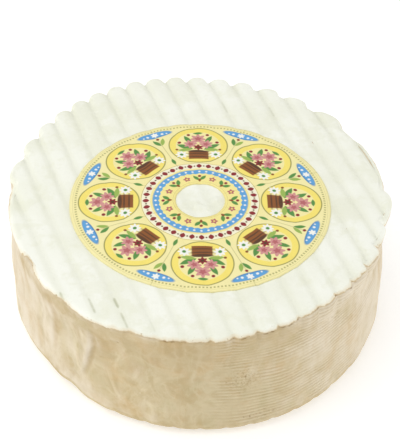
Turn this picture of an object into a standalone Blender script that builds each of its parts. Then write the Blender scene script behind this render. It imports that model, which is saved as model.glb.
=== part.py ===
"""Wheel of goat brie with a printed paper ring lying on its ridged top.

The wheel stands on z = 0 with its axis on Z. X runs to the right and Y away from the front.
Angles go round the wheel from the front, at -Y, towards the right, at +X. Sizes are in metres.
"""
import math
from collections import namedtuple

import bmesh
import bpy
from mathutils import Matrix, Vector
from mathutils.geometry import delaunay_2d_cdt

# Driving dimensions of the wheel
WHEEL_HEIGHT = 0.065
TOP_RADIUS = 0.0864
BASE_RADIUS = 0.0833
TOP_EDGE = 0.0024
BASE_EDGE = 0.0062

# The hand-moulded outline swells and draws in round the wheel: order, size, angle of a crest
Wave = namedtuple("Wave", "order size crest")
TOP_WAVES = (Wave(1, 0.0016, 158.0), Wave(2, 0.0004, 22.0), Wave(3, 0.0013, -16.0))
BASE_WAVES = (Wave(1, 0.0012, 90.0), Wave(2, 0.0011, 74.0), Wave(4, 0.0011, 4.0), Wave(5, 0.0006, -32.0))
WALL_DROP = 0.030

# The wall draws in under the rim: how far, at what part of the height, over what part of the height
WAIST_DEPTH = 0.0011
WAIST_LEVEL = 0.70
WAIST_SPREAD = 0.20

# Places where a hand pressed the wall in, or it stands out: angle, width, depth, level, reach of levels
Dent = namedtuple("Dent", "angle width depth level reach")
DENTS = (
    Dent(110.0, 8.0, 0.0008, 1.0, 0.22),
    Dent(79.0, 7.0, 0.0016, 0.98, 0.20),
    Dent(86.0, 24.0, 0.0021, 0.77, 0.14),
    Dent(-98.0, 7.0, -0.0011, 1.0, 0.30),
    Dent(-58.0, 9.0, 0.0006, 0.45, 0.20),
)

# Ridges that the ripening rack pressed into both flat sides
RIDGE_PITCH = 0.0100
RIDGE_START = 0.0048
RIDGE_TURN = math.radians(22.0)
RIDGE_SWAY = 0.0005
RIDGE_SWAY_LENGTH = 0.022
RIDGE_FLANK = 0.0020
PRESSED_DEPTH = 0.0003
OPEN_DEPTH = 0.0010
RIM_DEPTH = 0.0018
RIDGE_SHARPNESS = 1.6
RIM_NOTCH = 0.0020
RIM_STEP = 0.0033
RIM_STEP_POWER = 6
NOTCH_REACH = 0.009
CROWN_FALL = 0.0003
CROWN_WIDTH = 0.012
FOOT_GROOVE_DEPTH = 0.0008

# Stretches of the rim where the rind fills the valleys: angles from and to, and the share filled
Filled = namedtuple("Filled", "start end share")
FILLED_RIM = (Filled(-80.0, 2.0, 0.88), Filled(2.0, 62.0, 0.42))
FILLED_FADE = math.radians(7.0)
FILLED_TOP = 0.5

# Creases and lifted lips down the side wall
Crease = namedtuple("Crease", "angle bow lean depth lip width top bottom")
CREASES = (
    Crease(-32.0, -1.7, 2.8, 0.0006, 0.0012, 0.0022, 0.056, 0.016),
    Crease(-48.0, -0.6, 0.4, 0.0004, 0.0007, 0.0036, 0.063, 0.018),
    Crease(128.0, 2.0, 1.5, 0.0006, 0.0010, 0.0034, 0.052, 0.014),
    Crease(-141.0, -3.0, -2.0, 0.0006, 0.0011, 0.0030, 0.056, 0.016),
)
FLUTE_DEPTH = 0.0006
FLUTE_ORDER = 24

# Stretch of the foot that is drawn up from the ground: angles from and to, and the extra rounding
LIFT_FROM = math.radians(-88.0)
LIFT_TO = math.radians(-39.0)
LIFT_SIZE = 0.0028

# Paper ring, a little shorter from front to back, with its round hole a little behind its middle
LABEL_HALF_WIDTH = 0.0581
LABEL_HALF_DEPTH = 0.0545
LABEL_CENTRE = Vector((0.0015, -0.0043))
LABEL_HOLE_RADIUS = 0.0110
LABEL_HOLE_CENTRE = Vector((0.0015, -0.0022))
LABEL_THICKNESS = 0.0003
LABEL_GAP = 0.0003

# Fineness of the faceted solids
COLUMNS = 216
EDGE_STEPS = 3
WALL_LEVELS = (0.14, 0.32, 0.5, 0.68, 0.86)
LINE_STEP = 0.011
RING_CLEARANCE = 0.0014
LABEL_COLUMNS = 96
HOLE_COLUMNS = 32

RIND_COLOUR = (0.83, 0.78, 0.66, 1.0)
PAPER_COLOUR = (0.93, 0.86, 0.50, 1.0)


def clear_scene():
    """Remove every object that the file starts with."""
    for item in list(bpy.data.objects):
        bpy.data.objects.remove(item, do_unlink=True)


def smooth_step(low, high, value):
    """Rise smoothly from 0 at low to 1 at high; low may be the larger one."""
    part = min(max((value - low) / (high - low), 0.0), 1.0)
    return part * part * (3.0 - 2.0 * part)


def wave_sum(waves, angle):
    """Add up the waves at an angle round the wheel."""
    return sum(w.size * math.cos(w.order * (angle - math.radians(w.crest))) for w in waves)


def on_circle(angle, radius):
    """Return the plan point at an angle round the wheel."""
    return Vector((radius * math.sin(angle), -radius * math.cos(angle)))


def angle_of(x, y):
    """Return the angle round the wheel of a plan point."""
    return math.atan2(x, -y)


def ridge_sway(along):
    """Return how far the ridges wander sideways at a place along them."""
    return RIDGE_SWAY * math.sin(along / RIDGE_SWAY_LENGTH + 1.0)


def ridge_point(across, along):
    """Return the plan point that lies at a place across and along the ridges."""
    side = across - ridge_sway(along)
    cosine, sine = math.cos(RIDGE_TURN), math.sin(RIDGE_TURN)
    return Vector((side * cosine - along * sine, side * sine + along * cosine))


def ridge_count(x, y):
    """Return how many ridges lie between a plan point and the valley that they are counted from."""
    cosine, sine = math.cos(RIDGE_TURN), math.sin(RIDGE_TURN)
    along = y * cosine - x * sine
    across = x * cosine + y * sine + ridge_sway(along)
    return (across - RIDGE_START) / RIDGE_PITCH


def ridge_hollow(x, y):
    """Return 0 on the crest of a ridge and 1 at the bottom of the valley beside it."""
    return (1.0 - abs(math.sin(math.pi * ridge_count(x, y)))) ** RIDGE_SHARPNESS


def filled_share(angle):
    """Return how far the rind fills the ends of the valleys at an angle round the rim."""
    share = 0.0
    for stretch in FILLED_RIM:
        middle = math.radians((stretch.start + stretch.end) / 2.0)
        half = math.radians((stretch.end - stretch.start) / 2.0)
        aside = abs((angle - middle + math.pi) % (2.0 * math.pi) - math.pi)
        share += stretch.share * smooth_step(half + FILLED_FADE, half - FILLED_FADE, aside)
    return share


def rim_step(angle, radius):
    """Return how far the rim steps out or in because each ridge ends square to its own length."""
    rim = on_circle(angle, radius)
    aside = ridge_count(rim.x, rim.y) % 1.0 - 0.5
    square = 1.0 - (2.0 * abs(aside)) ** RIM_STEP_POWER
    return RIM_STEP * aside * square * math.sin(angle - RIDGE_TURN)


def top_outline(angle):
    """Return the radius of the top rim, before the ridges notch it."""
    return TOP_RADIUS + wave_sum(TOP_WAVES, angle)


def base_outline(angle):
    """Return the radius of the foot."""
    return BASE_RADIUS + wave_sum(BASE_WAVES, angle)


def crease_relief(crease, angle, z):
    """Return how far a crease's lip stands out, or its groove goes in, at a point of the wall."""
    middle = (crease.top + crease.bottom) / 2.0
    half = (crease.top - crease.bottom) / 2.0
    level = (z - middle) / half
    if abs(level) >= 1.0:
        return 0.0
    fade = (1.0 - level * level) ** 0.5
    centre = math.radians(crease.angle + crease.bow * level * level + crease.lean * level)
    aside = (angle - centre + math.pi) % (2.0 * math.pi) - math.pi
    reach = aside * BASE_RADIUS / crease.width
    groove = crease.depth * math.exp(-((reach - 0.3) ** 2) * 2.0)
    lip = crease.lip * math.exp(-((reach + 0.8) ** 2) * (0.07 if reach < -0.8 else 1.2))
    return fade * (lip - groove)


def wall_relief(angle, z):
    """Return the soft flutes and creases of the side wall at a point."""
    level = z / WHEEL_HEIGHT
    calm = 0.35 + 0.65 * smooth_step(0.3, -0.5, math.sin(angle + 0.2))
    flutes = FLUTE_DEPTH * calm * math.sin(math.pi * level) * (
        math.cos(FLUTE_ORDER * angle + 1.5 * level) + 0.6 * math.cos((FLUTE_ORDER - 7) * angle + 2.0)) / 1.6
    return flutes + sum(crease_relief(crease, angle, z) for crease in CREASES)


def dent_depth(angle, z):
    """Return how far the dents take the wall in at a point."""
    depth = 0.0
    for dent in DENTS:
        aside = (angle - math.radians(dent.angle) + math.pi) % (2.0 * math.pi) - math.pi
        level = (z / WHEEL_HEIGHT - dent.level) / dent.reach
        depth += dent.depth * math.exp(-((aside / math.radians(dent.width)) ** 2) - level * level)
    return depth


def wall_radius(angle, z):
    """Return the radius of the side wall at a height, before its two edges are rounded."""
    below = WHEEL_HEIGHT - z
    top = top_outline(angle)
    drop = smooth_step(0.0, 1.0, min(below / WALL_DROP, 1.0))
    rim = on_circle(angle, top)
    notch = (RIM_NOTCH * ridge_hollow(rim.x, rim.y) - rim_step(angle, top)) * (1.0 - filled_share(angle))
    notch *= math.exp(-((below / NOTCH_REACH) ** 2))
    waist = WAIST_DEPTH * math.exp(-(((z / WHEEL_HEIGHT - WAIST_LEVEL) / WAIST_SPREAD) ** 2))
    inward = notch + waist + dent_depth(angle, z)
    return top + (base_outline(angle) - top) * drop - inward + wall_relief(angle, z)


def outside_label(x, y):
    """Return how far a plan point lies outside the paper ring's rim; it is below nought on the paper."""
    place = Vector((x, y)) - LABEL_CENTRE
    return (math.hypot(place.x / LABEL_HALF_WIDTH, place.y / LABEL_HALF_DEPTH) - 1.0) * LABEL_HALF_WIDTH


def top_height(x, y):
    """Return the height of the ridged top: pressed nearly flat under the paper, deeper at the rim."""
    angle = angle_of(x, y)
    inward = top_outline(angle) - math.hypot(x, y)
    filled = filled_share(angle)
    open_depth = OPEN_DEPTH * (1.0 - FILLED_TOP * filled)
    rim_depth = RIM_DEPTH * (1.0 - filled)
    depth = PRESSED_DEPTH + (open_depth - PRESSED_DEPTH) * smooth_step(-0.004, 0.010, outside_label(x, y))
    depth += (rim_depth - open_depth) * smooth_step(CROWN_WIDTH, TOP_EDGE, inward)
    fall = CROWN_FALL * smooth_step(CROWN_WIDTH, TOP_EDGE, inward)
    return WHEEL_HEIGHT - fall - depth * ridge_hollow(x, y)


def foot_height(x, y):
    """Return the height of the underside: flat bands to stand on, with a groove between each two."""
    aside = abs((ridge_count(x, y) + 0.5) % 1.0 - 0.5) * RIDGE_PITCH
    if aside > RIDGE_FLANK * 0.999:
        return 0.0
    return FOOT_GROOVE_DEPTH * (1.0 - aside / RIDGE_FLANK)


def foot_edge(angle):
    """Return the rounding of the foot, larger where it is drawn up from the ground."""
    return BASE_EDGE + LIFT_SIZE * smooth_step(LIFT_FROM, LIFT_FROM + 0.3, angle) * smooth_step(
        LIFT_TO + 0.06, LIFT_TO - 0.03, angle)


def column_points(angle):
    """Return the points down the wheel's side at an angle, from the top's edge to the foot's."""
    rim = on_circle(angle, top_outline(angle) - TOP_EDGE)
    high = top_height(rim.x, rim.y)
    edge = foot_edge(angle)
    foot = on_circle(angle, base_outline(angle) - edge)
    low = foot_height(foot.x, foot.y)
    points = []
    for step in range(EDGE_STEPS + 1):
        turn = math.pi / 2.0 * step / EDGE_STEPS
        z = high - TOP_EDGE * (1.0 - math.cos(turn))
        points.append((wall_radius(angle, z) - TOP_EDGE * (1.0 - math.sin(turn)), z))
    for level in WALL_LEVELS:
        z = high - TOP_EDGE - level * (high - TOP_EDGE - low - edge)
        points.append((wall_radius(angle, z), z))
    for step in range(EDGE_STEPS + 1):
        turn = math.pi / 2.0 * step / EDGE_STEPS
        z = low + edge * (1.0 - math.sin(turn))
        points.append((wall_radius(angle, z) - edge * (1.0 - math.cos(turn)), z))
    return [on_circle(angle, radius).to_3d() + Vector((0.0, 0.0, z)) for radius, z in points]


def ridge_lines(inside, offsets):
    """Return lines along the ridges as lists of plan points, kept where inside is true.

    Args: inside tests a plan point, offsets are the places across one ridge that get a line.
    """
    lines = []
    count = int(TOP_RADIUS / RIDGE_PITCH) + 2
    steps = int(TOP_RADIUS / LINE_STEP) + 1
    for ridge in range(-count, count + 1):
        for offset in offsets:
            across = RIDGE_START + ridge * RIDGE_PITCH + offset
            line = []
            for step in range(-steps, steps + 1):
                point = ridge_point(across, step * LINE_STEP)
                if inside(point):
                    line.append(point)
                elif line:
                    lines.append(line)
                    line = []
            if line:
                lines.append(line)
    return lines


def ridged_triangles(rings, lines):
    """Fill closed rings with triangles whose edges follow the ridge lines.

    Returns the plan points, the rings' own first and in their order, and the triangles' indices.
    """
    points = []
    edges = []
    for ring in rings:
        first = len(points)
        points.extend(ring)
        edges.extend((first + i, first + (i + 1) % len(ring)) for i in range(len(ring)))
    for line in lines:
        first = len(points)
        points.extend(line)
        edges.extend((first + i, first + i + 1) for i in range(len(line) - 1))
    flat = [Vector((p.x, p.y)) for p in points]
    _, _, faces, sources, _, _ = delaunay_2d_cdt(flat, edges, [], 1, 1e-7)
    triangles = [tuple(sources[corner][0] for corner in face) for face in faces]
    return flat, triangles


def add_sheet(bm, rings, lines, height, ring_verts, upward):
    """Add a ridged face that joins on to vertices that stand in the rings already."""
    points, triangles = ridged_triangles(rings, lines)
    verts = [vert for ring in ring_verts for vert in ring]
    for point in points[len(verts):]:
        verts.append(bm.verts.new((point.x, point.y, height(point.x, point.y))))
    for triangle in triangles:
        corners = [verts[index] for index in triangle]
        a, b, c = (points[index] for index in triangle)
        turns_left = (b - a).cross(c - a) > 0.0
        if turns_left != upward:
            corners.reverse()
        bm.faces.new(corners)


def join_rings(bm, upper, lower):
    """Join two rings of vertices that run the same way round with triangles facing out."""
    count = len(upper)
    for i in range(count):
        j = (i + 1) % count
        bm.faces.new((upper[i], lower[i], lower[j]))
        bm.faces.new((upper[i], lower[j], upper[j]))


def finish_object(name, bm, colour, roughness):
    """Make an object with its own material from the mesh."""
    mesh = bpy.data.meshes.new(name)
    bm.normal_update()
    bm.to_mesh(mesh)
    bm.free()
    material = bpy.data.materials.new(name)
    material.use_nodes = True
    shader = material.node_tree.nodes["Principled BSDF"]
    shader.inputs["Base Color"].default_value = colour
    shader.inputs["Roughness"].default_value = roughness
    shader.inputs["Metallic"].default_value = 0.0
    mesh.materials.append(material)
    mesh.shade_smooth()
    mesh.set_sharp_from_angle(angle=math.radians(40.0))
    item = bpy.data.objects.new(name, mesh)
    bpy.context.scene.collection.objects.link(item)
    return item


def build_wheel():
    """Build the cheese as one solid, with its ridged top, side wall and grooved foot."""
    bm = bmesh.new()
    angles = [2.0 * math.pi * i / COLUMNS for i in range(COLUMNS)]
    columns = [column_points(angle) for angle in angles]
    rows = [[bm.verts.new(column[row]) for column in columns] for row in range(len(columns[0]))]
    for upper, lower in zip(rows, rows[1:]):
        join_rings(bm, upper, lower)

    def inside_top(point):
        reach = top_outline(angle_of(point.x, point.y)) - TOP_EDGE - RIM_NOTCH - RIM_STEP / 4.0
        return point.length < reach - RING_CLEARANCE

    def inside_foot(point):
        angle = angle_of(point.x, point.y)
        return point.length < base_outline(angle) - foot_edge(angle) - RING_CLEARANCE

    top_ring = [column[0].to_2d() for column in columns]
    foot_ring = [column[-1].to_2d() for column in columns]
    top_lines = ridge_lines(inside_top, (0.0, RIDGE_FLANK, RIDGE_PITCH / 2.0, RIDGE_PITCH - RIDGE_FLANK))
    foot_lines = ridge_lines(inside_foot, (0.0, RIDGE_FLANK, RIDGE_PITCH - RIDGE_FLANK))
    add_sheet(bm, [top_ring], top_lines, top_height, [rows[0]], True)
    add_sheet(bm, [foot_ring], foot_lines, foot_height, [rows[-1]], False)
    return finish_object("cheese_wheel", bm, RIND_COLOUR, 0.85)


def build_label():
    """Build the paper ring, which sags a little into the valleys under it."""
    bm = bmesh.new()

    def oval(centre, half_width, half_depth, count):
        points = [on_circle(2.0 * math.pi * i / count, 1.0) for i in range(count)]
        return [centre + Vector((point.x * half_width, point.y * half_depth)) for point in points]

    def under_side(x, y):
        return top_height(x, y) + LABEL_GAP

    def upper_side(x, y):
        return under_side(x, y) + LABEL_THICKNESS

    def on_paper(point):
        from_hole = (point - LABEL_HOLE_CENTRE).length - LABEL_HOLE_RADIUS
        return from_hole > RING_CLEARANCE and outside_label(point.x, point.y) < -RING_CLEARANCE

    rings = [oval(LABEL_CENTRE, LABEL_HALF_WIDTH, LABEL_HALF_DEPTH, LABEL_COLUMNS),
             oval(LABEL_HOLE_CENTRE, LABEL_HOLE_RADIUS, LABEL_HOLE_RADIUS, HOLE_COLUMNS)]
    lines = ridge_lines(on_paper, (0.0, RIDGE_FLANK, RIDGE_PITCH / 2.0, RIDGE_PITCH - RIDGE_FLANK))
    sides = []
    for height in (upper_side, under_side):
        sides.append([[bm.verts.new((p.x, p.y, height(p.x, p.y))) for p in ring] for ring in rings])
    add_sheet(bm, rings, lines, upper_side, sides[0], True)
    add_sheet(bm, rings, lines, under_side, sides[1], False)
    hole = [face for face in bm.faces if all(vert in sides[0][1] or vert in sides[1][1] for vert in face.verts)]
    bmesh.ops.delete(bm, geom=hole, context="FACES_ONLY")
    join_rings(bm, sides[0][0], sides[1][0])
    join_rings(bm, sides[1][1], sides[0][1])
    return finish_object("paper_label", bm, PAPER_COLOUR, 0.55)


def centre_shift(wheel):
    """Return the move that brings the middle of the wheel's plan on to the Z axis."""
    shift = Vector()
    for axis in range(2):
        places = [vert.co[axis] for vert in wheel.data.vertices]
        shift[axis] = -(min(places) + max(places)) / 2.0
    return shift


def main():
    """Build the wheel and its paper ring, and stand them on the origin."""
    clear_scene()
    wheel = build_wheel()
    label = build_label()
    move = Matrix.Translation(centre_shift(wheel))
    wheel.data.transform(move)
    label.data.transform(move)


main()
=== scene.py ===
"""Looks of a wheel of goat brie: tan cheese wall, white bloomy skin and a printed paper ring.

The form repeats the solid's own rules, from the same named sizes, and adds the fine relief of the
rind. Lengths are in metres. Angles go round the wheel from the front, -Y, to the right, +X.
"""
import logging
import math
from dataclasses import dataclass, field
from enum import Enum

import bpy
import numpy as np
from mathutils import Matrix, Vector, noise


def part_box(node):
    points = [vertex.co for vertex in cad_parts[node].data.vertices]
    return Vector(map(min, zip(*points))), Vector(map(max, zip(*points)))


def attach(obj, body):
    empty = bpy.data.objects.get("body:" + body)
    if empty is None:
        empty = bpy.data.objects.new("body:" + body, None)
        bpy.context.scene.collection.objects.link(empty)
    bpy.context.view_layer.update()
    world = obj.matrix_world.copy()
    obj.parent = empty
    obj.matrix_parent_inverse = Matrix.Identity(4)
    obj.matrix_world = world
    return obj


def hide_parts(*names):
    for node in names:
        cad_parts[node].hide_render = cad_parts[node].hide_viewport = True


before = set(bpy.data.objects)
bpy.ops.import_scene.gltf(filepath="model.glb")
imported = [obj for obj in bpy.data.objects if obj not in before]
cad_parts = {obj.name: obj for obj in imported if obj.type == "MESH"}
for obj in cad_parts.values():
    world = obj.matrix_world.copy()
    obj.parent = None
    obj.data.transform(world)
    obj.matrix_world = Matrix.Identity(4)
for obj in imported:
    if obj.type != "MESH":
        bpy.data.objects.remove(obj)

LOG = logging.getLogger("goat_brie")
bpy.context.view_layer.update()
BODY = "root"
TAU = 2.0 * math.pi
MILLIMETRE = 0.001
FAR_FROM_RIM = 10.0
PETAL_SWING = 0.22


def smooth_step(low, high, value) -> np.ndarray:
    """Rise smoothly from 0 at low to 1 at high.

    Args:
        low: value, or array of values, where the rise starts.
        high: value where it ends; it may be smaller than low.
        value: numbers to judge.

    Returns:
        The share of the rise at each number.
    """
    part = np.clip((value - low) / (high - low), 0.0, 1.0)
    return part * part * (3.0 - 2.0 * part)


def bell(value) -> np.ndarray:
    """Return a bell that is 1 at 0 and near nothing beyond 2."""
    return np.exp(-np.square(value))


def angle_between(angle, centre: float) -> np.ndarray:
    """Return how far angles lie round the wheel from a centre, from -pi to pi."""
    return (angle - centre + math.pi) % TAU - math.pi


def round_angles(count: int) -> np.ndarray:
    """Return equally spaced angles all round the wheel."""
    return np.arange(count) * TAU / count


def plan(angle: np.ndarray, radius: np.ndarray) -> tuple[np.ndarray, np.ndarray]:
    """Turn angles and radii into plan points, x and y."""
    return radius * np.sin(angle), -radius * np.cos(angle)


def lumps(points: np.ndarray, size: float, seed: float, stretch: float = 1.0) -> np.ndarray:
    """Return smooth uneven noise at points in space.

    Args:
        points: places, one a row, in metres.
        size: width of a lump across, in metres.
        seed: number that picks another pattern.
        stretch: how many times taller than wide a lump is.

    Returns:
        Values from about -1 to 1.
    """
    scaled = points / np.array((size, size, size * stretch)) + seed
    flat = scaled.reshape(-1, 3)
    values = np.fromiter((noise.noise(Vector(place)) for place in flat), float, len(flat))
    return values.reshape(points.shape[:-1])


@dataclass(frozen=True)
class Unevenness:
    """One layer of smooth noise: width of a lump, seed, strength, and how many times taller a lump is."""

    size: float
    seed: float
    strength: float = 1.0
    stretch: float = 1.0

    def at(self, points: np.ndarray) -> np.ndarray:
        """Return the layer's values at points in space."""
        return self.strength * lumps(points, self.size, self.seed, self.stretch)


@dataclass(frozen=True)
class Wave:
    """One swell of an outline that runs round the wheel."""

    order: int
    size: float
    crest: float

    def at(self, angle: np.ndarray) -> np.ndarray:
        """Return the swell at angles round the wheel."""
        return self.size * np.cos(self.order * (angle - math.radians(self.crest)))


@dataclass(frozen=True)
class Crease:
    """A groove with a raised lip that runs down the side wall."""

    angle: float
    bow: float
    lean: float
    depth: float
    lip: float
    width: float
    top: float
    bottom: float

    def place(self, angle: np.ndarray, z: np.ndarray, radius: float) -> tuple[np.ndarray, np.ndarray]:
        """Find where points of the wall lie beside this crease.

        Args:
            angle: angles of the points.
            z: heights of the points.
            radius: radius of the wall.

        Returns:
            The distance aside in crease widths, and the crease's strength there from 0 to 1.
        """
        level = (z - (self.top + self.bottom) / 2.0) / ((self.top - self.bottom) / 2.0)
        strength = np.sqrt(np.clip(1.0 - level * level, 0.0, 1.0))
        level = np.clip(level, -1.0, 1.0)
        centre = np.radians(self.angle + self.bow * level * level + self.lean * level)
        return angle_between(angle, centre) * radius / self.width, strength

    def relief(self, angle: np.ndarray, z: np.ndarray, radius: float) -> np.ndarray:
        """Return how far the lip stands out, or the groove goes in, at points of the wall."""
        reach, strength = self.place(angle, z, radius)
        groove = self.depth * np.exp(-np.square(reach - 0.3) * 2.0)
        fall = np.where(reach < -0.8, 0.07, 1.2)
        lip = self.lip * np.exp(-np.square(reach + 0.8) * fall)
        return strength * (lip - groove)

    def shade(self, angle: np.ndarray, z: np.ndarray, radius: float) -> np.ndarray:
        """Return how deep in the groove points of the wall lie; the wall's material paints shade there."""
        reach, strength = self.place(angle, z, radius)
        return np.exp(-np.square(reach - 0.3) * 1.6) * strength


@dataclass(frozen=True)
class Dent:
    """A place where a hand pressed the wall in, or where it stands out if the depth is negative."""

    angle: float
    width: float
    depth: float
    level: float
    reach: float

    def at(self, angle: np.ndarray, level: np.ndarray) -> np.ndarray:
        """Return how far the wall goes in at angles and at parts of the wheel's height."""
        aside = angle_between(angle, math.radians(self.angle)) / math.radians(self.width)
        return self.depth * bell(aside) * bell((level - self.level) / self.reach)


@dataclass(frozen=True)
class Stretch:
    """A stretch of the way round the wheel, between two angles in degrees."""

    start: float
    end: float

    def inside(self, angle: np.ndarray, outer: float, inner: float) -> np.ndarray:
        """Return 1 inside the stretch, fading to 0 over its ends.

        Args:
            angle: angles round the wheel.
            outer: how far beyond an end the fade reaches, in radians.
            inner: how far within an end it starts.

        Returns:
            The share at each angle.
        """
        half = math.radians((self.end - self.start) / 2.0)
        aside = np.abs(angle_between(angle, math.radians((self.start + self.end) / 2.0)))
        return smooth_step(half + outer, half - inner, aside)


@dataclass(frozen=True)
class Filled(Stretch):
    """A stretch of the rim where bloom fills the ends of the valleys."""

    share: float
    fade: float = math.radians(7.0)

    def at(self, angle: np.ndarray) -> np.ndarray:
        """Return how far the valleys are filled at angles round the rim."""
        return self.share * self.inside(angle, self.fade, self.fade)


class WallCharacter(Enum):
    """What the cheese cloth left on a stretch of the side wall."""

    LINED = "fine level lines"
    FOLDED = "upright folds"


@dataclass(frozen=True)
class WallStretch(Stretch):
    """A stretch of the side wall with one character."""

    character: WallCharacter
    outer_fade: float = 0.06
    inner_fade: float = 0.12

    def share(self, angle: np.ndarray) -> np.ndarray:
        """Return how far the wall has this character at angles round it."""
        return self.inside(angle, self.outer_fade, self.inner_fade)


@dataclass
class WheelForm:
    """Outline and relief of the cheese, worked out at arrays of angles, heights and plan points."""

    height: float = 0.065
    top_radius: float = 0.0864
    base_radius: float = 0.0833
    top_edge: float = 0.0024
    base_edge: float = 0.0062
    top_waves: tuple[Wave, ...] = (Wave(1, 0.0016, 158.0), Wave(2, 0.0004, 22.0), Wave(3, 0.0013, -16.0))
    base_waves: tuple[Wave, ...] = (
        Wave(1, 0.0012, 90.0), Wave(2, 0.0011, 74.0), Wave(4, 0.0011, 4.0), Wave(5, 0.0006, -32.0))
    wall_drop: float = 0.030
    waist_depth: float = 0.0011
    waist_level: float = 0.70
    waist_spread: float = 0.20
    ridge_pitch: float = 0.0100
    ridge_start: float = 0.0048
    ridge_turn: float = math.radians(22.0)
    ridge_sway: float = 0.0005
    ridge_sway_length: float = 0.022
    ridge_flank: float = 0.0020
    valley_round: float = 0.10
    ridge_sharpness: float = 1.6
    pressed_depth: float = 0.0003
    open_depth: float = 0.0010
    rim_depth: float = 0.0018
    rim_notch: float = 0.0020
    rim_step: float = 0.0033
    rim_step_power: int = 6
    notch_reach: float = 0.009
    filled_rim: tuple[Filled, ...] = (Filled(-80.0, 2.0, 0.88), Filled(2.0, 62.0, 0.42))
    filled_top: float = 0.5
    crown_fall: float = 0.0003
    crown_width: float = 0.012
    foot_groove: float = 0.0008
    flute_depth: float = 0.0006
    flute_order: int = 24
    dents: tuple[Dent, ...] = (
        Dent(110.0, 8.0, 0.0008, 1.0, 0.22), Dent(79.0, 7.0, 0.0016, 0.98, 0.20),
        Dent(86.0, 24.0, 0.0021, 0.77, 0.14), Dent(-98.0, 7.0, -0.0011, 1.0, 0.30),
        Dent(-58.0, 9.0, 0.0006, 0.45, 0.20))
    lift_from: float = math.radians(-88.0)
    lift_to: float = math.radians(-39.0)
    lift_size: float = 0.0028
    lift_rise: float = 0.3
    lift_end: tuple[float, float] = (0.06, -0.03)
    label_half_width: float = 0.0581
    label_half_depth: float = 0.0545
    label_centre: tuple[float, float] = (0.0015, -0.0043)
    label_hole_centre: tuple[float, float] = (0.0015, -0.0022)
    creases: tuple[Crease, ...] = (
        Crease(-32.0, -1.7, 2.8, 0.0006, 0.0012, 0.0022, 0.056, 0.016),
        Crease(-48.0, -0.6, 0.4, 0.0004, 0.0007, 0.0036, 0.063, 0.018),
        Crease(128.0, 2.0, 1.5, 0.0006, 0.0010, 0.0034, 0.052, 0.014),
        Crease(-141.0, -3.0, -2.0, 0.0006, 0.0011, 0.0030, 0.056, 0.016))

    def ridge_count(self, x: np.ndarray, y: np.ndarray) -> np.ndarray:
        """Return how many ridges lie between plan points and the valley that they are counted from."""
        cosine, sine = math.cos(self.ridge_turn), math.sin(self.ridge_turn)
        along = y * cosine - x * sine
        sway = self.ridge_sway * np.sin(along / self.ridge_sway_length + 1.0)
        return (x * cosine + y * sine + sway - self.ridge_start) / self.ridge_pitch

    def hollow(self, x: np.ndarray, y: np.ndarray) -> np.ndarray:
        """Return 0 on the crest of a ridge and 1 at the bottom of the valley beside it."""
        wave = np.sin(math.pi * self.ridge_count(x, y))
        rounding = self.valley_round
        height = np.sqrt(wave * wave + rounding * rounding) - rounding
        low = np.clip(1.0 - height / (math.sqrt(1.0 + rounding * rounding) - rounding), 0.0, 1.0)
        return low ** self.ridge_sharpness

    def filled(self, angle: np.ndarray) -> np.ndarray:
        """Return how far bloom fills the ends of the valleys at angles round the rim."""
        return sum(stretch.at(angle) for stretch in self.filled_rim)

    def top_outline(self, angle: np.ndarray) -> np.ndarray:
        """Return the radius of the top rim, before the ridges notch it."""
        return self.top_radius + sum(wave.at(angle) for wave in self.top_waves)

    def base_outline(self, angle: np.ndarray) -> np.ndarray:
        """Return the radius of the foot."""
        return self.base_radius + sum(wave.at(angle) for wave in self.base_waves)

    def wall_relief(self, angle: np.ndarray, z: np.ndarray) -> np.ndarray:
        """Return the soft flutes and creases of the side wall."""
        level = z / self.height
        calm = 0.35 + 0.65 * smooth_step(0.3, -0.5, np.sin(angle + 0.2))
        flutes = np.cos(self.flute_order * angle + 1.5 * level)
        flutes = flutes + 0.6 * np.cos((self.flute_order - 7) * angle + 2.0)
        flutes = flutes * self.flute_depth * calm * np.sin(math.pi * np.clip(level, 0.0, 1.0)) / 1.6
        return flutes + sum(crease.relief(angle, z, self.base_radius) for crease in self.creases)

    def wall_radius(self, angle: np.ndarray, z: np.ndarray) -> np.ndarray:
        """Return the radius of the side wall, before its two edges are rounded."""
        below = self.height - z
        top = self.top_outline(angle)
        drop = smooth_step(0.0, self.wall_drop, below)
        rim_x, rim_y = plan(angle, top)
        notch = self.rim_notch * self.hollow(rim_x, rim_y) - self.step_out(angle, rim_x, rim_y)
        notch = notch * (1.0 - self.filled(angle))
        level = z / self.height
        inward = notch * bell(below / self.notch_reach)
        inward = inward + self.waist_depth * bell((level - self.waist_level) / self.waist_spread)
        inward = inward + sum(dent.at(angle, level) for dent in self.dents)
        return top + (self.base_outline(angle) - top) * drop - inward + self.wall_relief(angle, z)

    def step_out(self, angle: np.ndarray, rim_x: np.ndarray, rim_y: np.ndarray) -> np.ndarray:
        """Return how far the rim steps out because each ridge ends square to its own length."""
        aside = self.ridge_count(rim_x, rim_y) % 1.0 - 0.5
        square = 1.0 - (2.0 * np.abs(aside)) ** self.rim_step_power
        return self.rim_step * aside * square * np.sin(angle - self.ridge_turn)

    def crown_radius(self, angle: np.ndarray) -> np.ndarray:
        """Return the radius at which the notched top starts to round over."""
        return self.wall_radius(angle, self.high(angle)) - self.top_edge

    def top_height(self, x: np.ndarray, y: np.ndarray) -> np.ndarray:
        """Return the height of the ridged top, which the paper presses nearly flat."""
        angle = np.arctan2(x, -y)
        inward = self.top_outline(angle) - np.hypot(x, y)
        filled = self.filled(angle)
        bare = smooth_step(-0.004, 0.010, self.label_distance(x, y))
        crown = smooth_step(self.crown_width, self.top_edge, inward)
        open_depth = self.open_depth * (1.0 - self.filled_top * filled)
        rim_depth = self.rim_depth * (1.0 - filled)
        depth = self.pressed_depth + (open_depth - self.pressed_depth) * bare
        depth = depth + (rim_depth - open_depth) * crown
        return self.height - self.crown_fall * crown - depth * self.hollow(x, y)

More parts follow.
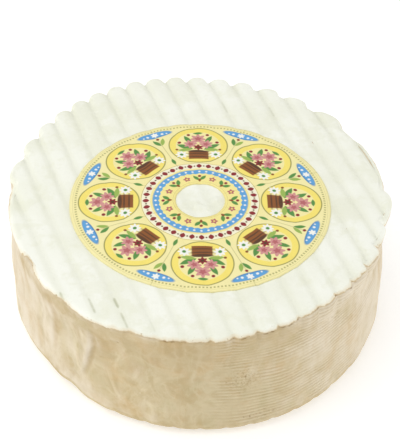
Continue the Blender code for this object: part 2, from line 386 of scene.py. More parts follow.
    def foot_height(self, x: np.ndarray, y: np.ndarray) -> np.ndarray:
        """Return the height of the underside: flat bands with a groove between each two."""
        aside = np.abs((self.ridge_count(x, y) + 0.5) % 1.0 - 0.5) * self.ridge_pitch
        return self.foot_groove * np.clip(1.0 - aside / self.ridge_flank, 0.0, 1.0)

    def foot_edge(self, angle: np.ndarray) -> np.ndarray:
        """Return the rounding of the foot, larger where it is drawn up from the ground."""
        turned = angle_between(angle, 0.0)
        rise = smooth_step(self.lift_from, self.lift_from + self.lift_rise, turned)
        end, full = self.lift_end
        fall = smooth_step(self.lift_to + end, self.lift_to + full, turned)
        return self.base_edge + self.lift_size * rise * fall

    def label_distance(self, x: np.ndarray, y: np.ndarray) -> np.ndarray:
        """Return how far plan points lie outside the paper ring's rim."""
        across, along = x - self.label_centre[0], y - self.label_centre[1]
        share = np.hypot(across / self.label_half_width, along / self.label_half_depth)
        return (share - 1.0) * self.label_half_width

    def high(self, angle: np.ndarray) -> np.ndarray:
        """Return the height of the top where its edge starts to round over."""
        radius = self.top_outline(angle) - self.top_edge
        return self.top_height(*plan(angle, radius))

    def over_edge(self, angle: np.ndarray, run: np.ndarray, lift=0.0) -> tuple[np.ndarray, np.ndarray]:
        """Follow the surface over the rim and down the wall.

        Args:
            angle: angles round the wheel.
            run: distance along the surface from where the top starts to round over.
            lift: how far to stand off the surface; less than 0 is inside it.

        Returns:
            The radius and the height of each point.
        """
        high = self.high(angle)
        turn = np.clip(run / self.top_edge, 0.0, math.pi / 2.0)
        past = np.maximum(run - self.top_edge * math.pi / 2.0, 0.0)
        z = high - self.top_edge * (1.0 - np.cos(turn)) - past
        radius = self.wall_radius(angle, z) - self.top_edge * (1.0 - np.sin(turn))
        return radius + lift * np.sin(turn), z + lift * np.cos(turn)


def to_points(angle: np.ndarray, radius: np.ndarray, z: np.ndarray) -> np.ndarray:
    """Turn angles, radii and heights into points in space."""
    return np.stack(np.broadcast_arrays(*plan(angle, radius), z), axis=-1)


def spread(stops: tuple[tuple[float, float], ...], start: float) -> np.ndarray:
    """Space numbers out from a start, stretch by stretch.

    Args:
        stops: the end of each stretch and the step to keep in it.
        start: where the first stretch starts; that number is left out.

    Returns:
        The numbers in order, each stretch's end included.
    """
    values = []
    for end, step in stops:
        count = max(1, round((end - start) / step))
        values.extend(start + (end - start) * (i + 1) / count for i in range(count))
        start = end
    return np.array(values)


def band_faces(upper: int, lower: int, count: int) -> list[tuple]:
    """Return the four-sided faces between two rings of points, by the number of each ring's first point."""
    here = np.arange(count)
    after = (here + 1) % count
    return list(zip(upper + here, lower + here, lower + after, upper + after))


def with_poles(rows: list[np.ndarray], first: float = 0.0, last: float = 0.0) -> np.ndarray:
    """Join rings of numbers into one row, with a number for each pole at its ends."""
    return np.concatenate([[first], np.ravel(rows), [last]])


def link_piece(name: str, points: np.ndarray, faces: list[tuple]) -> bpy.types.Object:
    """Make a smooth shaded object from points and faces, and put it in the scene."""
    mesh = bpy.data.meshes.new(name)
    mesh.from_pydata(points.tolist(), [], [tuple(int(k) for k in face) for face in faces])
    mesh.shade_smooth()
    mesh.update()
    item = bpy.data.objects.new(name, mesh)
    bpy.context.scene.collection.objects.link(item)
    return item


def closed_mesh(name: str, rows: list[np.ndarray], first: np.ndarray, last: np.ndarray,
                masks: dict[str, np.ndarray]) -> bpy.types.Object:
    """Make one closed piece from rings of points between two poles.

    Args:
        name: the piece's name.
        rows: rings of equally many points, from the upper pole outwards and down.
        first: the pole inside the first ring.
        last: the pole inside the last ring.
        masks: numbers for each point, by the name that the materials read, poles included.

    Returns:
        The new object, smooth shaded.
    """
    count = len(rows[0])
    points = np.concatenate([first[None], *rows, last[None]])
    end = len(points) - 1
    here = np.arange(count)
    after = (here + 1) % count
    faces = [(0, 1 + i, 1 + j) for i, j in zip(here, after)]
    for row in range(len(rows) - 1):
        faces.extend(band_faces(1 + row * count, 1 + (row + 1) * count, count))
    base = 1 + (len(rows) - 1) * count
    faces.extend((end, base + j, base + i) for i, j in zip(here, after))
    item = link_piece(name, points, faces)
    for mask, values in masks.items():
        layer = item.data.attributes.new(mask, "FLOAT", "POINT")
        layer.data.foreach_set("value", np.asarray(values, dtype=np.float32))
    return item


@dataclass(frozen=True)
class Pit:
    """A small brown hole in the rind: angle in degrees, height, radius and depth in metres."""

    angle: float
    z: float
    radius: float
    depth: float

    def share(self, angle: np.ndarray, z: np.ndarray, wall: float) -> np.ndarray:
        """Return 1 at the middle of the pit, fading to 0 at its edge."""
        aside = angle_between(angle, math.radians(self.angle)) * wall
        return bell(np.hypot(aside, z - self.z) / self.radius)


@dataclass(frozen=True)
class CreamAndSheenSide:
    """Cream bloom and painted sheen that thicken round one side, from one angle in radians to another."""

    start: float
    full: float
    share: float

    def at(self, angle: np.ndarray) -> np.ndarray:
        """Return the cream's share at angles round the wall."""
        return smooth_step(self.start, self.full, angle_between(angle, 0.0)) * self.share


@dataclass(frozen=True)
class CreamSpot:
    """A place round the wall with more cream bloom, or less: middle and width in radians."""

    middle: float
    width: float
    share: float

    def at(self, angle: np.ndarray) -> np.ndarray:
        """Return the spot's share at angles round the wall."""
        return self.share * bell(angle_between(angle, self.middle) / self.width)


@dataclass
class CheeseBody:
    """The cheese itself: its tan wall with cloth marks, folds and pits, and its underside."""

    form: WheelForm
    name: str = "cheese_body"
    columns: int = 560
    rim_rows: int = 7
    wall_rows: int = 124
    foot_rows: int = 10
    lid_shares: tuple[float, ...] = (0.25, 0.5, 0.75, 0.88, 0.93, 0.96, 0.985)
    underside_shares: tuple[float, ...] = (0.985, 0.97, 0.9, 0.8, 0.65, 0.5, 0.35, 0.2, 0.1)
    lid_sink: float = 0.0010
    skin_sink: float = 0.00045
    skin_fade: float = 0.0007
    skin_hold: float = 0.0001
    foot_sink: float = 0.0012
    line_pitch: float = 0.0020
    line_depth: float = 0.00014
    line_wander: Unevenness = Unevenness(0.026, 3.0, 0.0011)
    line_swing: float = 0.0006
    even_lines: float = 1.1
    broken_lines: Unevenness = Unevenness(0.013, 14.0, 0.6, 0.10)
    line_patches: Unevenness = Unevenness(0.012, 11.0, 1.0, 0.6)
    fold_depth: float = 0.00055
    folds: Unevenness = Unevenness(0.010, 5.0, 0.7, 1.8)
    swirls: Unevenness = Unevenness(0.017, 17.0, 1.0, 1.3)
    swirl_share: float = 0.5
    swirl_power: int = 6
    broad_lumps: Unevenness = Unevenness(0.014, 8.0, 0.00040)
    small_lumps: Unevenness = Unevenness(0.0042, 2.0, 0.00014)
    crinkles: Unevenness = Unevenness(0.0016, 41.0, 1.0, 0.7)
    stretches: tuple[WallStretch, ...] = (
        WallStretch(6.0, 74.0, WallCharacter.LINED),
        WallStretch(-80.0, 2.0, WallCharacter.FOLDED),
        WallStretch(150.0, 215.0, WallCharacter.LINED),
        WallStretch(82.0, 146.0, WallCharacter.FOLDED),
        WallStretch(-142.0, -84.0, WallCharacter.FOLDED))
    rim_pits: tuple[float, ...] = (
        -7.5, -5.5, 14.5, 21.0, 23.0, 26.5, 28.6, 31.5, 38.9, 46.5, 52.0, 161.0, -163.0)
    rough_patches: tuple[Dent, ...] = (
        Dent(16.0, 4.5, 1.0, 0.54, 0.11), Dent(22.0, 4.0, 0.7, 0.15, 0.05), Dent(47.0, 4.0, 0.7, 0.80, 0.07),
        Dent(-170.0, 6.0, 0.9, 0.46, 0.12), Dent(100.0, 5.0, 0.7, 0.62, 0.09))
    rough_depth: float = 0.00016
    rim_pit_width: float = 0.0011
    rim_pit_level: float = 0.0003
    rim_pit_height: float = 0.0005
    rim_pit_depth: float = 0.0004
    rim_pit_dark: float = 1.2
    cream_and_sheen_left: CreamAndSheenSide = CreamAndSheenSide(-0.25, -1.25, 0.58)
    cream_and_sheen_right: CreamAndSheenSide = CreamAndSheenSide(0.12, 1.00, 0.66)
    bare_back: CreamSpot = CreamSpot(math.pi, 0.9, 0.35)
    cream_foot: CreamSpot = CreamSpot(-0.58, 0.42, 0.48)
    cream_foot_top: float = 0.026
    cream_foot_full: float = 0.006
    bare_band: CreamSpot = CreamSpot(-0.84, 0.26, 0.42)
    bare_band_level: float = 0.005
    bare_band_height: float = 0.006
    edge_cream: float = 0.30
    edge_cream_reach: float = 0.0012
    # Painted highlight along the raised lips of the creases.
    lip_highlight: float = 0.28
    pits: list[Pit] = field(default_factory=list)

    def __post_init__(self) -> None:
        """Scatter pits over the crinkled patches, and add the single one near the front."""
        chance = np.random.default_rng(7)
        for middle, level, around, upright, count in (
                (16.0, 0.035, 3.0, 0.004, 9), (22.0, 0.0100, 5.0, 0.0018, 6), (47.0, 0.052, 3.0, 0.003, 4),
                (-170.0, 0.030, 5.0, 0.006, 8), (100.0, 0.040, 4.0, 0.005, 5)):
            for _ in range(count):
                self.pits.append(Pit(
                    middle + chance.normal(0.0, around), level + chance.normal(0.0, upright),
                    chance.uniform(0.0003, 0.0007), chance.uniform(0.0002, 0.0004)))
        self.pits.append(Pit(-21.8, 0.0534, 0.0007, 0.0005))

    def share_of(self, character: WallCharacter, angle: np.ndarray) -> np.ndarray:
        """Return how strongly a character shows at angles round the wall."""
        return sum(stretch.share(angle) for stretch in self.stretches if stretch.character is character)

    def line_wave(self, angle: np.ndarray, z: np.ndarray, points: np.ndarray) -> np.ndarray:
        """Return the level lines of the cloth, about -1 in a trough and 1 on a crest."""
        wander = self.line_wander.at(points) + self.line_swing * np.sin(3.0 * angle)
        even = np.cos(TAU * (z + wander) / self.line_pitch)
        patchy = smooth_step(-0.40, 0.25, self.line_patches.at(points))
        return (self.even_lines * even + self.broken_lines.at(points)) * (0.30 + 0.70 * patchy)

    def fine_relief(self, angle: np.ndarray, z: np.ndarray, points: np.ndarray,
                    lines: np.ndarray) -> np.ndarray:
        """Return the relief that is too fine for the solid.

        Args:
            angle: angles of points on the wall.
            z: their heights.
            points: the points.
            lines: the level lines there.

        Returns:
            How far the surface stands out of the plain wall.
        """
        folded = self.share_of(WallCharacter.FOLDED, angle)
        swirl = 1.0 - np.abs(self.swirls.at(points))
        upright = self.folds.at(points) + self.swirl_share * swirl ** self.swirl_power
        relief = self.line_depth * self.share_of(WallCharacter.LINED, angle) * lines
        relief = relief + self.fold_depth * folded * upright
        relief = relief + self.broad_lumps.at(points) * (1.0 - 0.4 * folded)
        relief = relief + self.small_lumps.at(points)
        relief = relief + self.rough_depth * self.rough_share(angle, z) * self.crinkles.at(points)
        return relief * smooth_step(0.0, 0.10, z / self.form.height)

    def pit_share(self, angle: np.ndarray, z: np.ndarray,
                  below: np.ndarray) -> tuple[np.ndarray, np.ndarray]:
        """Find the pits at points of the wall.

        Args:
            angle: angles of the points.
            z: their heights.
            below: their distance below the edge of the white skin.

        Returns:
            How deep the pits go there, and how dark they are.
        """
        depth = np.zeros_like(z)
        dark = np.zeros_like(z)
        for pit in self.pits:
            share = pit.share(angle, z, self.form.base_radius)
            depth = depth + pit.depth * share
            dark = np.maximum(dark, share)
        for place in self.rim_pits:
            aside = angle_between(angle, math.radians(place)) * self.form.top_radius
            level = (below - self.rim_pit_level) / self.rim_pit_height
            share = bell(aside / self.rim_pit_width) * bell(level)
            depth = depth + self.rim_pit_depth * share
            dark = np.maximum(dark, self.rim_pit_dark * share)
        return depth, dark

    def cream_and_light_share(self, angle: np.ndarray, z: np.ndarray, below: np.ndarray) -> np.ndarray:
        """Return how much cream bloom lies over the tan rind, with painted sheen on the sides and painted
        highlight on the crease lips.

        Args:
            angle: angles of the points.
            z: their heights.
            below: their distance below the edge of the white skin.

        Returns:
            The share from 0 to 1.
        """
        # Paler towards the left and right: partly cream bloom, partly painted sheen on the sides.
        sides = self.cream_and_sheen_left.at(angle) + self.cream_and_sheen_right.at(angle)
        foot = self.cream_foot.at(angle) * smooth_step(self.cream_foot_top, self.cream_foot_full, z)
        near_skin = self.edge_cream * np.exp(-np.maximum(below, 0.0) / self.edge_cream_reach)
        band = self.bare_band.at(angle) * bell((below - self.bare_band_level) / self.bare_band_height)
        # Painted highlight along the raised lips of the creases.
        crests = [crease.place(angle, z, self.form.base_radius) for crease in self.form.creases]
        lips = sum(self.lip_highlight * bell((reach + 0.6) / 0.55) * strength for reach, strength in crests)
        return np.clip(sides - self.bare_back.at(angle) - band + foot + near_skin + lips, 0.0, 1.0)

    def rough_share(self, angle: np.ndarray, z: np.ndarray) -> np.ndarray:
        """Return how crinkled the rind is at points of the wall, from 0 to 1."""
        return np.clip(sum(patch.at(angle, z / self.form.height) for patch in self.rough_patches), 0.0, 1.0)

    def lid(self, angle: np.ndarray) -> list[np.ndarray]:
        """Return the rings of the top, which the skin hides."""
        form = self.form
        rows = []
        for share in self.lid_shares:
            radius = share * form.crown_radius(angle)
            rows.append(to_points(angle, radius, form.top_height(*plan(angle, radius)) - self.lid_sink))
        return rows

    def wall(self, angle: np.ndarray, reach: np.ndarray, fall: np.ndarray) -> tuple[list, dict]:
        """Build the rim and the wall.

        Args:
            angle: angles of the columns.
            reach: how far the white skin reaches down at each.
            fall: height of the straight wall at each.

        Returns:
            The rings of points, and for each mask its numbers ring by ring.
        """
        form = self.form
        edge_run = form.top_edge * math.pi / 2.0
        runs = [edge_run * step / self.rim_rows + 0.0 * angle for step in range(1, self.rim_rows + 1)]
        runs += [edge_run + fall * (row + 1.0) / self.wall_rows for row in range(self.wall_rows)]
        share_lined = self.share_of(WallCharacter.LINED, angle)
        rows = []
        masks = {name: [] for name in ("groove", "pit", "lines", "cream", "bulge", "rough", "lined")}
        for run in runs:
            radius, z = form.over_edge(angle, run)
            points = to_points(angle, radius, z)
            covered = smooth_step(reach + self.skin_fade, reach - self.skin_hold, run)
            depth, dark = self.pit_share(angle, z, run - reach)
            line = self.line_wave(angle, z, points)
            shape = self.fine_relief(angle, z, points, line) * (1.0 - 0.7 * covered)
            lift = shape - depth - covered * self.skin_sink
            rows.append(to_points(angle, *form.over_edge(angle, run, lift)))
            # The groove mask places painted shade in the creases' grooves.
            masks["groove"].append(sum(crease.shade(angle, z, form.base_radius) for crease in form.creases))
            masks["pit"].append(dark)
            masks["lines"].append(share_lined * line)
            masks["cream"].append(self.cream_and_light_share(angle, z, run - reach))
            # The bulge mask paints the raised fine relief paler and its hollows darker: painted highlight and
            # shade.
            masks["bulge"].append(shape / self.fold_depth)
            masks["rough"].append(self.rough_share(angle, z))
            masks["lined"].append(share_lined + 0.0 * z)
        return rows, masks

    def foot(self, angle: np.ndarray, low: np.ndarray, edge: np.ndarray,
             foot_radius: np.ndarray) -> list[np.ndarray]:
        """Build the rounded foot, and the underside that foot_bloom hides.

        Args:
            angle: angles of the columns.
            low: height of the underside's rim at each.
            edge: rounding of the foot at each.
            foot_radius: radius of the flat underside at each.

        Returns:
            The rings of points.
        """
        form = self.form
        rows = []
        for step in range(1, self.foot_rows + 1):
            turn = math.pi / 2.0 * step / self.foot_rows
            z = low + edge * (1.0 - math.sin(turn))
            radius = form.wall_radius(angle, z) - edge * (1.0 - math.cos(turn))
            points = to_points(angle, radius, z)
            shape = self.fine_relief(angle, z, points, self.line_wave(angle, z, points))
            rows.append(to_points(angle, radius + shape, z))
        for share in self.underside_shares:
            raised = self.foot_sink * smooth_step(1.0, 0.972, share)
            rows.append(to_points(angle, share * foot_radius, np.maximum(low, raised)))
        return rows

    def build(self, skin: "BloomSkin") -> bpy.types.Object:
        """Build the body, drawn in a little where the skin lies over it.

        Args:
            skin: the white skin, which says how far it reaches down the wall.

        Returns:
            The new object.
        """
        form = self.form
        angle = round_angles(self.columns)
        edge = form.foot_edge(angle)
        foot_radius = form.base_outline(angle) - edge
        low = form.foot_height(*plan(angle, foot_radius))
        fall = form.high(angle) - form.top_edge - low - edge
        lid = self.lid(angle)
        wall, wall_masks = self.wall(angle, skin.reach(angle), fall)
        rows = lid + wall + self.foot(angle, low, edge, foot_radius)
        masks = {}
        for mask, values in wall_masks.items():
            whole = np.zeros((len(rows), self.columns))
            whole[len(lid):len(lid) + len(values)] = values
            masks[mask] = with_poles(whole)
        first = np.array((0.0, 0.0, form.height - self.lid_sink - form.pressed_depth))
        last = np.array((0.0, 0.0, self.foot_sink))
        return closed_mesh(self.name, rows, first, last, masks)


@dataclass(frozen=True)
class Streak:
    """A short grey line in the bottom of one valley, between two distances along it."""

    valley: int
    start: float
    end: float
    strength: float
    width: float = 0.0007


@dataclass
class BloomSkin:
    """The white skin of bloom that covers the ridged top and laps over the rim in lobes."""

    form: WheelForm
    name: str = "bloom_skin"
    columns: int = 1000
    rim_rows: int = 16
    thickness: float = 0.0014
    lap: float = 0.0024
    lap_waves: tuple[Wave, ...] = (Wave(1, 0.0005, -80.0), Wave(5, 0.0003, 10.0))
    tongues: tuple[tuple[float, float, float], ...] = (
        (-49.0, 4.5, 0.0016), (-29.0, 8.0, 0.0024), (-59.0, 3.5, -0.0022), (-72.0, 6.0, 0.0016),
        (84.0, 12.0, 0.0030), (-110.0, 8.0, 0.0016), (-100.0, 6.0, 0.0024), (150.0, 9.0, 0.0020))
    streaks: tuple[Streak, ...] = (
        Streak(-8, -0.034, -0.042, 0.7), Streak(-7, -0.041, -0.053, 0.9), Streak(-6, -0.045, -0.053, 0.9),
        Streak(-6, -0.053, -0.066, 0.7), Streak(-5, -0.060, -0.072, 0.35), Streak(3, 0.050, 0.062, 0.6),
        Streak(5, 0.040, 0.050, 0.5))
    lobe: float = 0.0007
    dip: float = 0.0015
    rear_lap: float = 0.0012
    rags: tuple[Unevenness, ...] = (
        Unevenness(0.008, 21.0, 0.0008), Unevenness(0.0026, 4.0, 0.0006), Unevenness(0.0011, 12.0, 0.0003))
    shortest_reach: float = 0.0008
    broad_lumps: Unevenness = Unevenness(0.014, 31.0, 0.00030)
    small_lumps: Unevenness = Unevenness(0.0035, 7.0, 0.00008)
    blobs: Unevenness = Unevenness(0.0042, 9.0)
    blob_height: float = 0.0009

    def reach(self, angle: np.ndarray) -> np.ndarray:
        """Return how far the skin reaches along the surface from where the top rounds over."""
        form = self.form
        radius = form.top_outline(angle)
        hollow = form.hollow(*plan(angle, radius))
        points = to_points(angle, radius, 0.0 * angle)
        ragged = sum(rag.at(points) for rag in self.rags)
        lap = self.lap + sum(wave.at(angle) for wave in self.lap_waves)
        lap = lap + sum(size * bell(angle_between(angle, math.radians(place)) / math.radians(width))
                        for place, width, size in self.tongues)
        rear = smooth_step(1.45, 1.85, np.abs(angle_between(angle, 0.0)))
        lap = lap + self.rear_lap * rear
        open_ends = (1.0 - form.filled(angle)) * (1.0 - 0.85 * rear)
        dip_share = smooth_step(-0.3, 0.6, lumps(points, 0.03, 6.0) + 0.2)
        dips = self.dip * smooth_step(0.35, 1.0, hollow) * dip_share
        return np.maximum(lap + open_ends * (self.lobe * (0.4 - hollow) - dips) + ragged, self.shortest_reach)

    def fine_height(self, points: np.ndarray) -> np.ndarray:
        """Return the uneven lift of the skin that is too fine for the solid."""
        return self.broad_lumps.at(points) + self.small_lumps.at(points)

    def middle_lift(self, points: np.ndarray) -> np.ndarray:
        """Return the lift of the loose blobs of bloom in the paper ring's hole."""
        centre = np.array((*self.form.label_hole_centre, 0.0))
        away = np.hypot(*(points - centre)[:, :2].T)
        blobs = smooth_step(0.0, 0.6, self.blobs.at(points)) * self.blob_height
        return blobs * smooth_step(0.0098, 0.0078, away)

    def add_plain(self, *masks: list[np.ndarray]) -> None:
        """Add a row of noughts to masks, for points that nobody sees."""
        for mask in masks:
            mask.append(np.zeros(self.columns))

    def streaks_at(self, points: np.ndarray) -> np.ndarray:
        """Return how dark the short grey streaks are that run along the bottoms of some valleys."""
        form = self.form
        x, y = points[:, 0], points[:, 1]
        number = form.ridge_count(x, y)
        along = y * math.cos(form.ridge_turn) - x * math.sin(form.ridge_turn)
        share = np.zeros_like(x)
        for streak in self.streaks:
            middle, half = (streak.start + streak.end) / 2.0, abs(streak.end - streak.start) / 2.0
            aside = (number - streak.valley) * form.ridge_pitch
            share = np.maximum(share, streak.strength * bell(aside / streak.width)
                               * smooth_step(1.0, 0.55, np.abs(along - middle) / half))
        return share

    def build(self) -> bpy.types.Object:
        """Build the skin as one closed shell, its underside hidden in the body."""
        form = self.form
        angle = round_angles(self.columns)
        reach = self.reach(angle)
        rows, hollow, rim, streak = [], [], [], []
        inner = form.crown_radius(angle)
        scale = float(np.mean(inner))
        shares = spread(((0.0145, 0.0011), (0.054, 0.0042), (scale, 0.00082)), 0.0) / scale
        for share in shares:
            radius = share * inner
            x, y = plan(angle, radius)
            z = form.top_height(x, y)
            points = to_points(angle, radius, z)
            lift = self.fine_height(points) * smooth_step(0.0, 0.004, form.label_distance(x, y))
            lift = lift + self.middle_lift(points)
            rows.append(points + lift[:, None] * np.array((0.0, 0.0, 1.0)))
            # The hollow mask also places the bloom material's painted shade in the valleys.
            hollow.append(form.hollow(x, y))
            rim.append(np.full(self.columns, FAR_FROM_RIM))
            streak.append(self.streaks_at(points))
        for step in range(1, self.rim_rows + 1):
            run = reach * step / self.rim_rows
            points = to_points(angle, *form.over_edge(angle, run))
            lift = self.fine_height(points) * smooth_step(1.0, 0.7, step / self.rim_rows)
            rows.append(to_points(angle, *form.over_edge(angle, run, lift)))
            hollow.append(form.hollow(points[:, 0], points[:, 1]))
            rim.append((reach - run) / MILLIMETRE)
            streak.append(self.streaks_at(points))
        for inward, past in ((0.0003, 0.00020), (0.0008, 0.0001), (self.thickness, -0.0005)):
            rows.append(to_points(angle, *form.over_edge(angle, np.maximum(reach + past, 0.0), -inward)))
            self.add_plain(hollow, rim, streak)
        for share in (0.97, 0.85, 0.6, 0.3):
            radius = share * inner
            under = form.top_height(*plan(angle, radius)) - self.thickness
            rows.append(to_points(angle, radius, under))
            self.add_plain(hollow, rim, streak)
        first = np.array((0.0, 0.0, float(form.top_height(np.zeros(1), np.zeros(1))[0])))
        last = first - np.array((0.0, 0.0, self.thickness))
        masks = {"hollow": with_poles(hollow), "rim": with_poles(rim, FAR_FROM_RIM),
                 "streak": with_poles(streak)}
        return closed_mesh(self.name, rows, first, last, masks)


@dataclass
class FootBloom:
    """The white bloom under the wheel: a thin shell with the rack's grooves in it."""

    form: WheelForm
    name: str = "foot_bloom"
    columns: int = 560
    thickness: float = 0.0017
    inset: float = 0.0009
    rag: float = 0.0008
    row_step: float = 0.0135

    def rim(self, angle: np.ndarray) -> np.ndarray:
        """Return the radius of the shell's ragged rim."""
        edge = self.form.base_outline(angle) - self.form.foot_edge(angle)
        points = to_points(angle, edge, 0.0 * angle)
        return edge - self.inset + self.rag * (lumps(points, 0.007, 21.0) + 0.4 * lumps(points, 0.002, 23.0))

    def build(self) -> bpy.types.Object:
        """Build the shell, its upper side hidden in the body."""
        form = self.form
        angle = round_angles(self.columns)
        rim = self.rim(angle)
        rows, hollow, from_rim = [], [], []
        levels = [(share, self.thickness) for share in (0.3, 0.6, 0.85, 0.97)]
        levels += [(0.999, 0.0006), (1.0, 0.0003), (0.999, 0.0001)]
        levels += [(share, 0.0) for share in spread(((self.row_step, -self.row_step), ), 0.998)]
        for share, above in levels:
            radius = share * rim
            low = form.foot_height(*plan(angle, radius))
            lift = 0.00018 * (0.5 + 0.5 * lumps(to_points(angle, radius, low), 0.009, 27.0))
            rows.append(to_points(angle, radius, np.maximum(low + lift * (above == 0.0), above)))
            # The hollow mask also places the bloom material's painted shade in the rack's grooves.
            hollow.append(0.8 * low / form.foot_groove)
            from_rim.append((rim - radius) / MILLIMETRE)
        middle = float(form.foot_height(np.zeros(1), np.zeros(1))[0])
        masks = {"hollow": with_poles(hollow), "rim": with_poles(from_rim, FAR_FROM_RIM, FAR_FROM_RIM),
                 "streak": np.zeros(len(rows) * self.columns + 2)}
        return closed_mesh(self.name, rows, np.array((0.0, 0.0, self.thickness)),
                           np.array((0.0, 0.0, middle)), masks)


@dataclass
class PaperRing:
    """The printed paper ring that lies over the middle of the top."""

    form: WheelForm
    name: str = "paper_ring"
    hole_radius: float = 0.0110
    thickness: float = 0.0003
    gap: float = 0.0003
    columns: int = 360
    ring_count: int = 48
    rim_fall: float = 0.00022
    print_turn: float = math.radians(2.48)

    def oval(self, share: float) -> tuple[np.ndarray, np.ndarray]:
        """Return the plan points of one ring, from the round hole at share 0 to the oval rim at share 1."""
        form = self.form
        angle = round_angles(self.columns)
        half_width = self.hole_radius + (form.label_half_width - self.hole_radius) * share
        half_depth = self.hole_radius + (form.label_half_depth - self.hole_radius) * share
        centre = [hole + (rim - hole) * share for hole, rim in zip(form.label_hole_centre, form.label_centre)]
        return centre[0] + half_width * np.sin(angle), centre[1] - half_depth * np.cos(angle)

    def height(self, share: float) -> np.ndarray:
        """Return the height of the paper's upper side, which follows the ridges below it softly."""
        form = self.form
        from_edge = min(1.0 - share, share) * (form.label_half_width - self.hole_radius)
        fall = self.rim_fall * bell(from_edge / 0.0012)
        return form.top_height(*self.oval(share)) + self.gap + self.thickness - fall

    def build(self) -> bpy.types.Object:
        """Build the ring as one closed sheet with two sides and two cut edges."""
        angle = round_angles(self.columns)
        shares = np.linspace(0.0, 1.0, self.ring_count)
        hole_share = self.hole_radius / self.form.label_half_width
        rows, prints = [], []
        for drop, order in ((0.0, shares), (self.thickness, shares[::-1])):
            for share in order:
                x, y = self.oval(share)
                rows.append(np.stack((x, y, self.height(share) - drop), axis=-1))
                away = hole_share + (1.0 - hole_share) * share
                prints.append(to_points(angle, away, 0.0 * angle))
        item = self.tube(rows)
        places = item.data.attributes.new("print", "FLOAT_VECTOR", "POINT")
        places.data.foreach_set("vector", np.concatenate(prints).ravel())
        return item

    def tube(self, rows: list[np.ndarray]) -> bpy.types.Object:
        """Join rings of points in order, the last one back to the first."""
        count = self.columns
        faces = []
        for row in range(len(rows)):
            faces.extend(band_faces(row * count, (row + 1) % len(rows) * count, count))
        return link_piece(self.name, np.concatenate(rows), faces)


def srgb(red: int, green: int, blue: int) -> tuple[float, float, float, float]:
    """Turn a colour from 0 to 255, as a screen shows it, into the linear colour that nodes use."""
    values = [part / 255.0 for part in (red, green, blue)]
    linear = [part / 12.92 if part <= 0.04045 else ((part + 0.055) / 1.055) ** 2.4 for part in values]
    return (*linear, 1.0)


class Sketch:
    """Short calls that add nodes to one tree and link them."""

    def __init__(self, tree: bpy.types.NodeTree) -> None:
        """Start on a tree."""
        self.tree = tree

    def node(self, kind: str, inputs: dict | None = None, **settings) -> bpy.types.Node:
        """Add a node.

        Args:
            kind: the node's type name.
            inputs: values or sockets for its inputs, by name or number.
            settings: attributes to set on the node.

        Returns:
            The new node.
        """
        made = self.tree.nodes.new(kind)
        for name, value in settings.items():
            setattr(made, name, value)
        for key, value in (inputs or {}).items():
            self.feed(made.inputs[key], value)
        return made

    def feed(self, socket: bpy.types.NodeSocket, value) -> None:
        """Link a socket to an input, or set the input to a plain value."""
        if isinstance(value, bpy.types.NodeSocket):
            self.tree.links.new(value, socket)
        else:
            socket.default_value = value

    def math(self, operation: str, *values) -> bpy.types.NodeSocket:
        """Add a Math node on up to three values or sockets and return its result."""
        made = self.node("ShaderNodeMath", dict(enumerate(values)), operation=operation)
        return made.outputs[0]

    def plus(self, first, second) -> bpy.types.NodeSocket:
        """Return the sum of two values or sockets."""
        return self.math("ADD", first, second)

    def minus(self, first, second) -> bpy.types.NodeSocket:
        """Return the first value or socket less the second."""
        return self.math("SUBTRACT", first, second)

    def times(self, first, second) -> bpy.types.NodeSocket:
        """Return the product of two values or sockets."""
        return self.math("MULTIPLY", first, second)

    def around_middle(self, value, size: float) -> bpy.types.NodeSocket:
        """Return noise that runs from 0 to 1 moved to lie round 0, and made a given size across."""
        return self.times(self.minus(value, 0.5), size)

    def step(self, value, low: float, high: float, start: float = 0.0,
             end: float = 1.0) -> bpy.types.NodeSocket:
        """Return a smooth rise of a value from low to high, scaled to run from start to end."""
        made = self.node("ShaderNodeMapRange", {"Value": value, "From Min": low, "From Max": high,
                                                "To Min": start, "To Max": end},
                         interpolation_type="SMOOTHSTEP")
        return made.outputs["Result"]

    def mix(self, share, first, second, blend: str = "MIX") -> bpy.types.NodeSocket:
        """Return a colour mixed from two, by a share from 0 to 1."""
        made = self.node("ShaderNodeMix", {0: share, 6: first, 7: second}, data_type="RGBA", blend_type=blend)
        return made.outputs[2]

    def tint(self, colour, value, low: float, high: float, share: float, tone,
             where=None) -> bpy.types.NodeSocket:
        """Lay a tone over a colour.

        Args:
            colour: the colour below.
            value: what the tone follows.
            low: value where the tone starts.
            high: value where it is fullest; it may be smaller than low.
            share: how much of the tone shows there.
            tone: the colour to lay on.
            where: a mask from 0 to 1 that holds the tone back, or None.

        Returns:
            The colour with the tone on it.
        """
        amount = self.step(value, low, high, 0.0, share)
        if where is not None:
            amount = self.times(where, amount)
        return self.mix(amount, colour, tone)

    def noise(self, vector, scale: float, detail: float = 2.0, rough: float = 0.5,
              swirl: float = 0.0) -> bpy.types.NodeSocket:
        """Return smooth noise of a number of lumps to the metre."""
        made = self.node("ShaderNodeTexNoise", {"Vector": vector, "Scale": scale, "Detail": detail,
                                                "Roughness": rough, "Distortion": swirl})
        return made.outputs["Fac"]

    def stretched(self, vector, scale: tuple[float, float, float]) -> bpy.types.NodeSocket:
        """Return coordinates scaled on each axis."""
        made = self.node("ShaderNodeMapping", {"Vector": vector, "Scale": scale})
        return made.outputs["Vector"]

    def mask(self, name: str) -> bpy.types.NodeSocket:
        """Return a number that the mesh carries at each point."""
        return self.node("ShaderNodeAttribute", attribute_name=name).outputs["Fac"]

    def place(self) -> bpy.types.NodeSocket:
        """Return the point on the object in metres."""
        return self.node("ShaderNodeTexCoord").outputs["Object"]


